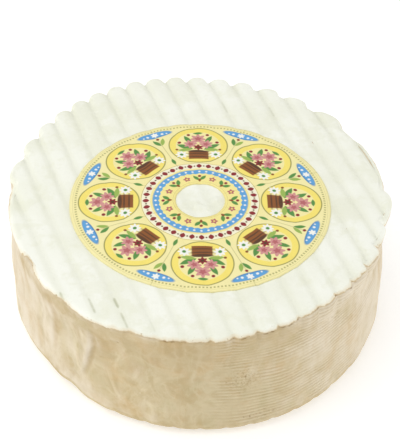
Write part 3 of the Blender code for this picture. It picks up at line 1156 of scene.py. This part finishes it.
def new_group(name: str, inputs: dict[str, float | str],
              outputs: tuple[str, ...]) -> tuple[Sketch, dict, bpy.types.Node]:
    """Start a node group with number inputs and outputs.

    Args:
        name: the group's name.
        inputs: each input's start value by name, or the word VECTOR.
        outputs: names of the outputs.

    Returns:
        A sketch on the group, its input sockets by name, and its output node.
    """
    tree = bpy.data.node_groups.new(name, "ShaderNodeTree")
    for title, value in inputs.items():
        kind = "NodeSocketVector" if value == "VECTOR" else "NodeSocketFloat"
        made = tree.interface.new_socket(title, in_out="INPUT", socket_type=kind)
        if value != "VECTOR":
            made.default_value = value
    for title in outputs:
        tree.interface.new_socket(title, in_out="OUTPUT", socket_type="NodeSocketFloat")
    sketch = Sketch(tree)
    source = sketch.node("NodeGroupInput")
    return sketch, {title: source.outputs[title] for title in inputs}, sketch.node("NodeGroupOutput")


class Mark(Enum):
    """A shape that the print is made of."""

    DISC = "disc"
    LEAF = "leaf"
    FLOWER = "flower"
    BAND = "band"


def local_point_group() -> bpy.types.NodeTree:
    """Make a group that turns a point into its place in the nearest of several repeats round a circle."""
    sketch, source, result = new_group(
        "print_repeat", {"Radius": 0.0, "Angle": 0.0, "Count": 8.0, "Turn": 0.0}, ("Out", "Aside"))
    half = sketch.math("DIVIDE", math.pi, source["Count"])
    turned = sketch.minus(source["Angle"], source["Turn"])
    local = sketch.math("WRAP", turned, half, sketch.times(half, -1.0))
    sketch.feed(result.inputs["Out"], sketch.times(source["Radius"], sketch.math("COSINE", local)))
    sketch.feed(result.inputs["Aside"], sketch.times(source["Radius"], sketch.math("SINE", local)))
    return sketch.tree


def polar_group() -> bpy.types.NodeTree:
    """Make a group that gives a plan point's distance from the middle and its angle from the front."""
    sketch, source, result = new_group("print_polar", {"Point": "VECTOR"}, ("Radius", "Angle"))
    parts = sketch.node("ShaderNodeSeparateXYZ", {0: source["Point"]})
    x, y = parts.outputs["X"], parts.outputs["Y"]
    square = sketch.plus(sketch.times(x, x), sketch.times(y, y))
    sketch.feed(result.inputs["Radius"], sketch.math("SQRT", square))
    sketch.feed(result.inputs["Angle"], sketch.math("ARCTAN2", x, sketch.times(y, -1.0)))
    return sketch.tree


def mark_group(kind: Mark) -> bpy.types.NodeTree:
    """Make the group that draws one kind of mark.

    Args:
        kind: which mark.

    Returns:
        A group with the mark's share, 1 inside and 0 outside, as its output.
    """
    sketch, source, result = new_group(
        "print_" + kind.value,
        {"Out": 0.0, "Aside": 0.0, "At Out": 0.0, "At Aside": 0.0, "Turn": 0.0, "Length": 0.1, "Width": 0.1,
         "Petals": 5.0, "Edge": 0.006}, ("Share", ))
    out = sketch.minus(source["Out"], source["At Out"])
    aside = sketch.minus(source["Aside"], source["At Aside"])
    cosine, sine = sketch.math("COSINE", source["Turn"]), sketch.math("SINE", source["Turn"])
    along = sketch.plus(sketch.times(out, cosine), sketch.times(aside, sine))
    across = sketch.minus(sketch.times(aside, cosine), sketch.times(out, sine))
    long_part = sketch.math("DIVIDE", along, source["Length"])
    wide_part = sketch.math("DIVIDE", across, source["Width"])
    long_square = sketch.times(long_part, long_part)
    reach = sketch.math("SQRT", sketch.plus(long_square, sketch.times(wide_part, wide_part)))
    if kind is Mark.LEAF:
        reach = sketch.plus(sketch.math("ABSOLUTE", wide_part), long_square)
    if kind is Mark.FLOWER:
        bearing = sketch.math("ARCTAN2", wide_part, long_part)
        swing = sketch.math("COSINE", sketch.times(bearing, source["Petals"]))
        reach = sketch.minus(reach, sketch.times(swing, PETAL_SWING))
    if kind is Mark.BAND:
        reach = sketch.math("MAXIMUM", sketch.math("ABSOLUTE", long_part), sketch.math("ABSOLUTE", wide_part))
    smaller = sketch.math("MINIMUM", source["Length"], source["Width"])
    soft = sketch.math("DIVIDE", source["Edge"], smaller)
    inside = sketch.node("ShaderNodeMapRange", {
        "Value": reach, "From Min": sketch.plus(1.0, soft), "From Max": sketch.minus(1.0, soft)})
    sketch.feed(result.inputs["Share"], inside.outputs["Result"])
    return sketch.tree


class Ink(Enum):
    """Colours of the print."""

    GROUND = srgb(250, 240, 176)
    GOLD = srgb(252, 232, 118)
    OLIVE = srgb(150, 148, 84)
    BLUE = srgb(96, 166, 222)
    DEEP_BLUE = srgb(60, 124, 186)
    WHITE = srgb(250, 250, 244)
    RED = srgb(142, 34, 44)
    PINK = srgb(214, 150, 146)
    ROSE = srgb(186, 104, 108)
    BROWN = srgb(142, 82, 36)
    DARK = srgb(88, 52, 30)
    GREEN = srgb(88, 146, 70)
    LIME = srgb(156, 186, 88)


@dataclass(frozen=True)
class Stamp:
    """One mark of the print, repeated round the ring. Lengths are in ring radii, turns in degrees."""

    kind: Mark
    ink: Ink
    out: float
    aside: float
    length: float
    width: float
    turn: float = 0.0
    count: int = 8
    start: float = 0.0
    petals: float = 5.0
    opacity: float = 1.0


@dataclass(frozen=True)
class Hoop:
    """A plain printed ring, or a dashed one, in ring radii."""

    ink: Ink
    low: float
    high: float
    opacity: float = 1.0
    scallop: float = 0.0
    count: int = 64


@dataclass
class RingPrint:
    """A generic print: tubs of clover blossom in round frames, with blue, white and red borders."""

    edge: float = 0.0035

    def borders(self) -> list[Hoop]:
        """Return the rings that run round the whole print."""
        return [
            Hoop(Ink.OLIVE, 0.974, 0.979, 0.6),
            Hoop(Ink.WHITE, 0.384, 0.452, 0.6),
            Hoop(Ink.DARK, 0.452, 0.458, 0.8),
            Hoop(Ink.BLUE, 0.322, 0.366, 1.0, 0.010, 40),
            Hoop(Ink.DEEP_BLUE, 0.364, 0.370),
            Hoop(Ink.OLIVE, 0.208, 0.213, 0.7),
        ]

    def frames(self) -> list[Stamp]:
        """Return the round frames and what stands in them."""
        disc, leaf, flower, band = Mark.DISC, Mark.LEAF, Mark.FLOWER, Mark.BAND
        marks = [
            Stamp(disc, Ink.OLIVE, 0.700, 0.0, 0.236, 0.236),
            Stamp(disc, Ink.GOLD, 0.700, 0.0, 0.227, 0.227),
            Stamp(disc, Ink.GROUND, 0.700, 0.0, 0.178, 0.178, opacity=0.9),
            Stamp(band, Ink.BROWN, 0.566, 0.0, 0.052, 0.078),
            Stamp(disc, Ink.DARK, 0.618, 0.0, 0.017, 0.081),
            Stamp(band, Ink.DARK, 0.546, 0.0, 0.006, 0.078),
            Stamp(band, Ink.DARK, 0.584, 0.0, 0.006, 0.078),
        ]
        for side in (-1.0, 1.0):
            marks += [
                Stamp(leaf, Ink.GREEN, 0.680, side * 0.106, 0.072, 0.024, side * 62.0),
                Stamp(leaf, Ink.LIME, 0.640, side * 0.106, 0.060, 0.020, side * 96.0),
                Stamp(leaf, Ink.GREEN, 0.772, side * 0.082, 0.060, 0.021, side * 28.0),
                Stamp(flower, Ink.PINK, 0.714, side * 0.062, 0.046, 0.046, side * 20.0, petals=7.0),
                Stamp(flower, Ink.ROSE, 0.714, side * 0.062, 0.020, 0.020, side * 20.0, petals=5.0),
                Stamp(flower, Ink.WHITE, 0.574, side * 0.134, 0.040, 0.040, petals=8.0),
                Stamp(disc, Ink.GREEN, 0.574, side * 0.134, 0.015, 0.015),
                Stamp(disc, Ink.RED, 0.738, side * 0.150, 0.015, 0.015),
                Stamp(disc, Ink.RED, 0.838, side * 0.076, 0.014, 0.014),
                Stamp(disc, Ink.BROWN, 0.640, side * 0.170, 0.012, 0.012),
            ]
        marks += [
            Stamp(flower, Ink.PINK, 0.790, 0.0, 0.052, 0.052, petals=7.0),
            Stamp(flower, Ink.ROSE, 0.790, 0.0, 0.024, 0.024, petals=5.0),
            Stamp(flower, Ink.RED, 0.672, 0.0, 0.032, 0.032, petals=6.0),
            Stamp(disc, Ink.DARK, 0.672, 0.0, 0.013, 0.013),
            Stamp(leaf, Ink.GREEN, 0.866, 0.0, 0.040, 0.015, 90.0),
        ]
        return marks

    def fillers(self) -> list[Stamp]:
        """Return the marks between the frames and in the borders."""
        disc, leaf, flower, band = Mark.DISC, Mark.LEAF, Mark.FLOWER, Mark.BAND
        marks = [
            Stamp(band, Ink.OLIVE, 0.955, 0.0, 0.0075, 0.0065, count=220, opacity=0.75),
            Stamp(band, Ink.OLIVE, 0.71, 0.0, 0.25, 0.0024, start=22.5, opacity=0.6),
            Stamp(disc, Ink.DEEP_BLUE, 0.902, 0.0, 0.037, 0.146, start=22.5),
            Stamp(disc, Ink.BLUE, 0.905, 0.0, 0.031, 0.138, start=22.5),
            Stamp(flower, Ink.WHITE, 0.905, 0.0, 0.025, 0.025, start=22.5, petals=6.0),
            Stamp(leaf, Ink.GREEN, 0.796, 0.024, 0.048, 0.017, 24.0, start=22.5),
            Stamp(leaf, Ink.LIME, 0.796, -0.024, 0.048, 0.017, -24.0, start=22.5),
            Stamp(disc, Ink.RED, 0.842, 0.0, 0.013, 0.013, start=22.5),
            Stamp(leaf, Ink.GREEN, 0.515, 0.0, 0.040, 0.015, start=22.5),
            Stamp(leaf, Ink.RED, 0.418, 0.0, 0.027, 0.021, count=36),
            Stamp(disc, Ink.DARK, 0.418, 0.0, 0.0075, 0.0075, count=36, start=5.0),
            Stamp(disc, Ink.WHITE, 0.344, 0.0, 0.009, 0.009, count=40),
            Stamp(leaf, Ink.GREEN, 0.262, 0.026, 0.036, 0.016, 40.0),
            Stamp(leaf, Ink.GREEN, 0.262, -0.026, 0.036, 0.016, -40.0),
            Stamp(leaf, Ink.BROWN, 0.236, 0.0, 0.020, 0.011),
            Stamp(disc, Ink.RED, 0.286, 0.0, 0.013, 0.013),
            Stamp(flower, Ink.ROSE, 0.258, 0.0, 0.024, 0.024, start=22.5, petals=5.0),
            Stamp(disc, Ink.GOLD, 0.258, 0.0, 0.008, 0.008, start=22.5),
        ]
        for side in (-1.0, 1.0):
            marks.append(Stamp(disc, Ink.WHITE, 0.898, side * 0.062, 0.011, 0.011, start=22.5))
            marks.append(Stamp(disc, Ink.WHITE, 0.892, side * 0.098, 0.007, 0.007, start=22.5))
        return marks

    def dress(self, sketch: Sketch, point) -> bpy.types.NodeSocket:
        """Lay the print down in layers.

        Args:
            sketch: where to add the nodes.
            point: the point on the paper, in ring radii from its middle.

        Returns:
            The print's colour.
        """
        groups = {kind: mark_group(kind) for kind in Mark}
        polar = sketch.node("ShaderNodeGroup", node_tree=polar_group())
        sketch.feed(polar.inputs["Point"], point)
        radius, angle = polar.outputs["Radius"], polar.outputs["Angle"]
        repeat = local_point_group()
        colour = sketch.mix(sketch.step(radius, 0.60, 0.25, 0.0, 0.45), Ink.GROUND.value, Ink.GOLD.value)
        for hoop in self.borders():
            low = hoop.low
            if hoop.scallop:
                wave = sketch.math("ABSOLUTE", sketch.math("SINE", sketch.times(angle, hoop.count / 2.0)))
                low = sketch.minus(hoop.low, sketch.times(wave, hoop.scallop))
            inner = sketch.math("DIVIDE", sketch.minus(radius, low), self.edge)
            outer = sketch.math("DIVIDE", sketch.minus(hoop.high, radius), self.edge)
            share = sketch.node("ShaderNodeClamp", {"Value": sketch.math("MINIMUM", inner, outer)}).outputs[0]
            colour = sketch.mix(sketch.times(share, hoop.opacity), colour, hoop.ink.value)
        places = {}
        for stamp in self.fillers() + self.frames():
            key = (stamp.count, stamp.start)
            if key not in places:
                places[key] = sketch.node("ShaderNodeGroup", node_tree=repeat)
                for title, value in (("Radius", radius), ("Angle", angle), ("Count", float(stamp.count)),
                                     ("Turn", math.radians(stamp.start))):
                    sketch.feed(places[key].inputs[title], value)
            local = places[key]
            mark = sketch.node("ShaderNodeGroup", node_tree=groups[stamp.kind])
            for title, value in (("Out", local.outputs["Out"]), ("Aside", local.outputs["Aside"]),
                                 ("At Out", stamp.out), ("At Aside", stamp.aside),
                                 ("Turn", math.radians(stamp.turn)), ("Length", stamp.length),
                                 ("Width", stamp.width), ("Petals", stamp.petals), ("Edge", self.edge)):
                sketch.feed(mark.inputs[title], value)
            share = mark.outputs["Share"]
            if stamp.opacity < 1.0:
                share = sketch.times(share, stamp.opacity)
            colour = sketch.mix(share, colour, stamp.ink.value)
        return colour


@dataclass(frozen=True)
class Finish:
    """How a surface shines: plain roughness, specular level, and the two ends of an uneven roughness."""

    roughness: float
    specular: float
    uneven: tuple[float, float] | None = None


PAPER_FINISH = Finish(roughness=0.42, specular=0.40, uneven=(0.38, 0.50))
BLOOM_FINISH = Finish(roughness=0.85, specular=0.25, uneven=(0.78, 0.95))
RIND_FINISH = Finish(roughness=0.70, specular=0.35, uneven=(0.62, 0.82))
FLOOR_FINISH = Finish(roughness=0.90, specular=0.10)


def start_material(name: str, finish: Finish) -> tuple[bpy.types.Material, Sketch, bpy.types.Node]:
    """Make a material, with its specular level and plain roughness on the shader.

    Args:
        name: the material's name.
        finish: the settings.

    Returns:
        The material, a sketch on its tree, and its shader node.
    """
    material = bpy.data.materials.new(name)
    material.use_nodes = True
    tree = material.node_tree
    tree.nodes.clear()
    sketch = Sketch(tree)
    shader = sketch.node("ShaderNodeBsdfPrincipled", {
        "Roughness": finish.roughness, "Specular IOR Level": finish.specular})
    output = sketch.node("ShaderNodeOutputMaterial")
    tree.links.new(shader.outputs[0], output.inputs["Surface"])
    return material, sketch, shader


def add_bump(sketch: Sketch, shader: bpy.types.Node, height, distance: float, strength: float = 1.0) -> None:
    """Feed the shader a normal from a height.

    Args:
        sketch: where to add the node.
        shader: the shader to feed.
        height: a height from 0 to 1.
        distance: what 1 means in metres.
        strength: how much of it shows.
    """
    bump = sketch.node("ShaderNodeBump", {"Height": height, "Distance": distance, "Strength": strength})
    sketch.feed(shader.inputs["Normal"], bump.outputs[0])


def paper_material(ring: PaperRing) -> bpy.types.Material:
    """Make the printed paper: the print, faint fibre and a soft gloss.

    Args:
        ring: the paper, for the turn of its print.

    Returns:
        The material.
    """
    material, sketch, shader = start_material("printed_paper", PAPER_FINISH)
    point = sketch.node("ShaderNodeAttribute", attribute_name="print").outputs["Vector"]
    turned = sketch.node("ShaderNodeVectorRotate", {"Vector": point, "Angle": -ring.print_turn},
                         rotation_type="Z_AXIS").outputs["Vector"]
    colour = RingPrint().dress(sketch, turned)
    fibre = sketch.noise(sketch.place(), 2500.0, 3.0)
    colour = sketch.tint(colour, fibre, 0.35, 0.65, 0.06, Ink.OLIVE.value)
    sketch.feed(shader.inputs["Base Color"], colour)
    ripple = sketch.noise(sketch.place(), 160.0, 2.0)
    sketch.feed(shader.inputs["Roughness"], sketch.step(fibre, 0.3, 0.7, *PAPER_FINISH.uneven))
    height = sketch.plus(sketch.times(ripple, 0.8), sketch.times(fibre, 0.1))
    add_bump(sketch, shader, height, 0.0004, 0.6)
    return material


class SkinTone(Enum):
    """Colours of the white bloom."""

    CHALK = srgb(249, 250, 239)
    MILK = srgb(242, 243, 227)
    PATCH = srgb(236, 237, 216)
    # Painted shade for the valleys between the ridges, and for their bottoms.
    VALLEY_SHADE = srgb(230, 231, 209)
    VALLEY_LINE_SHADE = srgb(220, 222, 206)
    SPECK = srgb(230, 230, 212)
    STREAK = srgb(188, 190, 160)
    CREAMY_EDGE = srgb(236, 224, 196)
    FRAYED_EDGE = srgb(205, 180, 136)
    FLECK = srgb(176, 150, 104)


class WallTone(Enum):
    """Colours of the tan wall."""

    TAN = srgb(202, 183, 141)
    PALE_TAN = srgb(208, 192, 155)
    OLIVE_TINT = srgb(194, 182, 140)
    ORANGE_TINT = srgb(211, 178, 126)
    LIGHT_BLOTCH = srgb(224, 209, 172)
    DEEP_BLOTCH = srgb(196, 171, 125)
    RIPPLE = srgb(190, 166, 120)
    RIPPLE_CREST = srgb(232, 218, 184)
    PATCH = srgb(198, 165, 116)
    STRAND = srgb(230, 218, 186)
    BESIDE_STRAND = srgb(186, 164, 120)
    # Painted shade under the overhanging white skin.
    SHADE_UNDER_SKIN = srgb(188, 164, 120)
    # Cream bloom, and the colour of the painted sheen and highlight.
    CREAM_AND_HIGHLIGHT = srgb(231, 219, 197)
    LINE_TROUGH = srgb(180, 156, 112)
    LINE_CREST = srgb(230, 219, 190)
    # Painted shade in the grooves of the creases.
    GROOVE_SHADE = srgb(186, 158, 110)
    GRAIN = srgb(178, 148, 100)
    CRINKLE_TROUGH = srgb(158, 128, 80)
    CRINKLE_CREST = srgb(226, 212, 178)
    PIT = srgb(146, 110, 64)


def skin_material() -> bpy.types.Material:
    """Make the white bloom: chalky white, with painted shade in the valleys, and creamier at its edge."""
    material, sketch, shader = start_material("white_bloom", BLOOM_FINISH)
    point = sketch.place()
    hollow, rim = sketch.mask("hollow"), sketch.mask("rim")
    broad = sketch.noise(point, 38.0, 3.0)
    blob = sketch.noise(point, 85.0, 3.0, 0.6)
    fine = sketch.noise(point, 420.0, 4.0, 0.6)
    colour = sketch.mix(sketch.step(broad, 0.35, 0.7, 0.0, 1.0), SkinTone.CHALK.value, SkinTone.MILK.value)
    colour = sketch.tint(colour, blob, 0.50, 0.62, 0.45, SkinTone.PATCH.value)
    # Painted shade: the valleys between the ridges are tinted greyer, more so along their bottoms.
    colour = sketch.tint(colour, hollow, 0.02, 0.55, 0.28, SkinTone.VALLEY_SHADE.value)
    lowest = sketch.step(hollow, 0.45, 1.0)
    colour = sketch.tint(colour, broad, 0.65, 0.40, 0.10, SkinTone.VALLEY_LINE_SHADE.value, where=lowest)
    colour = sketch.tint(colour, fine, 0.55, 0.8, 0.25, SkinTone.SPECK.value)
    streak = sketch.times(sketch.mask("streak"), sketch.step(blob, 0.35, 0.60, 0.6, 1.0))
    colour = sketch.tint(colour, streak, 0.1, 0.9, 0.8, SkinTone.STREAK.value)
    ragged = sketch.plus(rim, sketch.around_middle(blob, 4.0))
    colour = sketch.tint(colour, ragged, 2.2, 0.0, 0.75, SkinTone.CREAMY_EDGE.value)
    frayed = sketch.plus(rim, sketch.around_middle(fine, 2.0))
    colour = sketch.tint(colour, frayed, 0.7, 0.0, 0.8, SkinTone.FRAYED_EDGE.value)
    specks = sketch.step(sketch.noise(point, 620.0, 2.0, 0.5), 0.66, 0.72)
    fleck = sketch.times(specks, sketch.step(rim, 3.2, 0.6))
    colour = sketch.mix(sketch.times(fleck, 0.6), colour, SkinTone.FLECK.value)
    sketch.feed(shader.inputs["Base Color"], colour)
    fuzz = sketch.noise(point, 1500.0, 3.0, 0.6)
    height = sketch.plus(sketch.times(fine, 0.6), sketch.times(fuzz, 0.25))
    add_bump(sketch, shader, height, 0.0006, 0.6)
    sketch.feed(shader.inputs["Roughness"], sketch.step(fuzz, 0.3, 0.7, *BLOOM_FINISH.uneven))
    return material


def body_material() -> bpy.types.Material:
    """Make the tan wall: mottled tan, cream streaks on the folds, brown pits, painted shade in the grooves
    and under the skin, and painted sheen and highlight on the sides, crease lips and raised relief.
    """
    material, sketch, shader = start_material("tan_rind", RIND_FINISH)
    point = sketch.place()
    upright = sketch.noise(sketch.stretched(point, (1.0, 1.0, 0.22)), 150.0, 3.0, 0.55)
    broad = sketch.noise(point, 30.0, 3.0)
    patch = sketch.noise(point, 120.0, 4.0, 0.6)
    fine = sketch.noise(point, 700.0, 4.0, 0.65)
    cream, groove = sketch.mask("cream"), sketch.mask("groove")
    blotch = sketch.noise(sketch.stretched(point, (1.0, 1.0, 0.7)), 62.0, 4.0, 0.62, 0.9)
    ripple = sketch.math("PINGPONG", sketch.times(blotch, 9.0), 1.0)
    mottled = sketch.step(sketch.mask("lined"), 0.0, 1.0, 1.0, 0.45)
    colour = sketch.mix(sketch.step(broad, 0.36, 0.64), WallTone.TAN.value, WallTone.PALE_TAN.value)
    tint = sketch.noise(sketch.stretched(point, (1.0, 1.0, 0.8)), 48.0, 3.0, 0.55, 0.5)
    colour = sketch.tint(colour, tint, 0.51, 0.66, 0.6, WallTone.OLIVE_TINT.value)
    colour = sketch.tint(colour, tint, 0.47, 0.32, 0.55, WallTone.ORANGE_TINT.value)
    colour = sketch.tint(colour, blotch, 0.46, 0.70, 0.70, WallTone.LIGHT_BLOTCH.value, where=mottled)
    colour = sketch.tint(colour, blotch, 0.54, 0.26, 0.50, WallTone.DEEP_BLOTCH.value, where=mottled)
    colour = sketch.tint(colour, ripple, 0.10, 0.95, 0.10, WallTone.RIPPLE.value)
    colour = sketch.tint(colour, ripple, 0.30, 0.0, 0.14, WallTone.RIPPLE_CREST.value, where=mottled)
    colour = sketch.tint(colour, patch, 0.5, 0.75, 0.40, WallTone.PATCH.value)
    swirl = sketch.noise(sketch.stretched(point, (1.0, 1.0, 0.75)), 74.0, 2.0, 0.5, 1.3)
    strand = sketch.math("ABSOLUTE", sketch.minus(swirl, 0.5))
    colour = sketch.tint(colour, strand, 0.10, 0.0, 0.20, WallTone.STRAND.value, where=mottled)
    colour = sketch.tint(colour, strand, 0.09, 0.17, 0.30, WallTone.BESIDE_STRAND.value, where=mottled)
    height = sketch.node("ShaderNodeSeparateXYZ", {"Vector": point}).outputs["Z"]
    # Painted shade: the upper wall darkens from 34 mm up towards the overhanging white skin.
    colour = sketch.tint(colour, height, 0.034, 0.054, 0.34, WallTone.SHADE_UNDER_SKIN.value)
    # The pale mix is partly cream bloom and partly painted light: sheen on the sides, highlight on the crease
    # lips and raised relief.
    pale = sketch.plus(cream, sketch.around_middle(upright, 0.9))
    pale = sketch.plus(pale, sketch.around_middle(patch, 0.7))
    pale = sketch.plus(pale, sketch.around_middle(blotch, 0.8))
    # Painted highlight and shade: where the fine relief stands out the wall is paler, where it sinks darker.
    pale = sketch.plus(pale, sketch.times(sketch.mask("bulge"), 0.22))
    colour = sketch.tint(colour, pale, 0.05, 0.95, 0.95, WallTone.CREAM_AND_HIGHLIGHT.value)
    lines = sketch.mask("lines")
    colour = sketch.tint(colour, lines, 0.1, -0.9, 0.27, WallTone.LINE_TROUGH.value)
    colour = sketch.tint(colour, lines, 0.1, 0.9, 0.27, WallTone.LINE_CREST.value)
    # Painted shade in the grooves of the creases.
    colour = sketch.tint(colour, groove, 0.3, 1.2, 0.45, WallTone.GROOVE_SHADE.value)
    colour = sketch.tint(colour, fine, 0.58, 0.8, 0.35, WallTone.GRAIN.value)
    crinkle = sketch.noise(sketch.stretched(point, (1.0, 1.0, 1.3)), 900.0, 3.0, 0.6)
    rough = sketch.mask("rough")
    colour = sketch.tint(colour, crinkle, 0.52, 0.66, 0.60, WallTone.CRINKLE_TROUGH.value, where=rough)
    colour = sketch.tint(colour, crinkle, 0.46, 0.36, 0.50, WallTone.CRINKLE_CREST.value, where=rough)
    colour = sketch.tint(colour, sketch.mask("pit"), 0.25, 0.9, 0.65, WallTone.PIT.value)
    sketch.feed(shader.inputs["Base Color"], colour)
    grain = sketch.plus(sketch.times(fine, 0.35), sketch.times(patch, 0.7))
    add_bump(sketch, shader, grain, 0.0008, 0.7)
    sketch.feed(shader.inputs["Roughness"], sketch.step(fine, 0.3, 0.7, *RIND_FINISH.uneven))
    return material


@dataclass(frozen=True)
class Lamp:
    """A soft square light that faces the wheel."""

    name: str
    place: tuple[float, float, float]
    size: float
    power: float


@dataclass
class Studio:
    """The floor, the lights and the camera."""

    frame_width: int = 400
    frame_height: int = 440
    focal_pixels: float = 1624.4
    aim_x: float = 200.39
    aim_y: float = 199.76
    aim_set: float = 0.0021
    elevation: float = math.radians(43.66)
    roll: float = 0.0304
    distance: float = 0.7238
    sensor_width: float = 36.0
    clip: tuple[float, float] = (0.01, 20.0)
    lamps: tuple[Lamp, ...] = (
        Lamp("overhead", (-0.44, -0.14, 1.11), 0.9, 4.75), Lamp("left_box", (-1.1, -0.35, 0.45), 0.7, 2.4),
        Lamp("right_box", (1.2, -0.1, 0.45), 0.6, 3.4))
    lamp_aim: tuple[float, float, float] = (0.0, 0.0, 0.04)
    sky_strength: float = 0.60
    floor_half: float = 3.0
    floor_drop: float = 0.0002
    floor_glow: float = 0.42

    def add_camera(self) -> None:
        """Place the camera so that the middle of the paper falls where the photograph has it."""
        low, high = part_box("paper_label")
        middle = (Vector(low) + Vector(high)) / 2.0
        middle.y += self.aim_set
        middle.z = high[2]
        sine, cosine = math.sin(self.elevation), math.cos(self.elevation)
        back, right, up = Vector((0.0, -cosine, sine)), Vector((1.0, 0.0, 0.0)), Vector((0.0, sine, cosine))
        turn, lean = math.cos(self.roll), math.sin(self.roll)
        right, up = turn * right + lean * up, turn * up - lean * right
        aside = (self.aim_x - self.frame_width / 2.0) / self.focal_pixels
        lift = -(self.aim_y - self.frame_height / 2.0) / self.focal_pixels
        data = bpy.data.cameras.new("photo_camera")
        data.sensor_width = self.sensor_width
        data.lens = self.focal_pixels / self.frame_height * self.sensor_width
        data.clip_start, data.clip_end = self.clip
        camera = bpy.data.objects.new("photo_camera", data)
        place = middle + self.distance * (back - aside * right - lift * up)
        turned = Matrix((right, up, back)).transposed().to_4x4()
        camera.matrix_world = Matrix.Translation(place) @ turned
        bpy.context.scene.collection.objects.link(camera)
        bpy.context.scene.camera = camera

    def add_light(self, lamp: Lamp) -> None:
        """Add a light and turn it to the wheel."""
        data = bpy.data.lights.new(lamp.name, "AREA")
        data.size, data.energy = lamp.size, lamp.power
        light = bpy.data.objects.new(lamp.name, data)
        aim = Vector(self.lamp_aim) - Vector(lamp.place)
        turned = aim.to_track_quat("-Z", "Y").to_matrix().to_4x4()
        light.matrix_world = Matrix.Translation(lamp.place) @ turned
        bpy.context.scene.collection.objects.link(light)

    def build(self) -> None:
        """Build the studio."""
        scene = bpy.context.scene
        scene.view_settings.view_transform = "Standard"
        scene.view_settings.look = "None"
        world = bpy.data.worlds.new("soft_white")
        world.use_nodes = True
        world.node_tree.nodes["Background"].inputs["Color"].default_value = (1.0, 1.0, 1.0, 1.0)
        world.node_tree.nodes["Background"].inputs["Strength"].default_value = self.sky_strength
        scene.world = world
        for lamp in self.lamps:
            self.add_light(lamp)
        floor_mesh = bpy.data.meshes.new("floor")
        half = self.floor_half
        corners = [(-half, -half, 0.0), (half, -half, 0.0), (half, half, 0.0), (-half, half, 0.0)]
        floor_mesh.from_pydata(corners, [], [(0, 1, 2, 3)])
        floor = bpy.data.objects.new("floor", floor_mesh)
        floor.location.z = -self.floor_drop
        scene.collection.objects.link(floor)
        material, sketch, shader = start_material("pale_floor", FLOOR_FINISH)
        sketch.feed(shader.inputs["Base Color"], srgb(226, 226, 226))
        sketch.feed(shader.inputs["Emission Color"], srgb(255, 255, 255))
        sketch.feed(shader.inputs["Emission Strength"], self.floor_glow)
        floor_mesh.materials.append(material)
        self.add_camera()


def dress(item: bpy.types.Object, material: bpy.types.Material, node: str) -> None:
    """Give a piece its material and say what it stands for."""
    item.data.materials.append(material)
    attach(item, BODY)
    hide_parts(node)
    LOG.info("%s: %d faces for %s", item.name, len(item.data.polygons), node)


def main() -> None:
    """Build the wheel, its paper and the studio."""
    logging.basicConfig(level=logging.INFO, format="%(message)s")
    form = WheelForm()
    skin = BloomSkin(form)
    body_item = CheeseBody(form).build(skin)
    skin_item = skin.build()
    foot_item = FootBloom(form).build()
    ring = PaperRing(form)
    ring_item = ring.build()
    dress(body_item, body_material(), "cheese_wheel")
    bloom = skin_material()
    dress(skin_item, bloom, "cheese_wheel")
    dress(foot_item, bloom, "cheese_wheel")
    low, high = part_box("paper_label")
    centre = (Vector(low) + Vector(high)) / 2.0
    dress(ring_item, paper_material(ring), "paper_label")
    move = Matrix.Translation((centre.x - form.label_centre[0], centre.y - form.label_centre[1], 0.0))
    for item in (body_item, skin_item, foot_item, ring_item):
        item.data.transform(move)
    Studio().build()


if __name__ == "__main__":
    main()
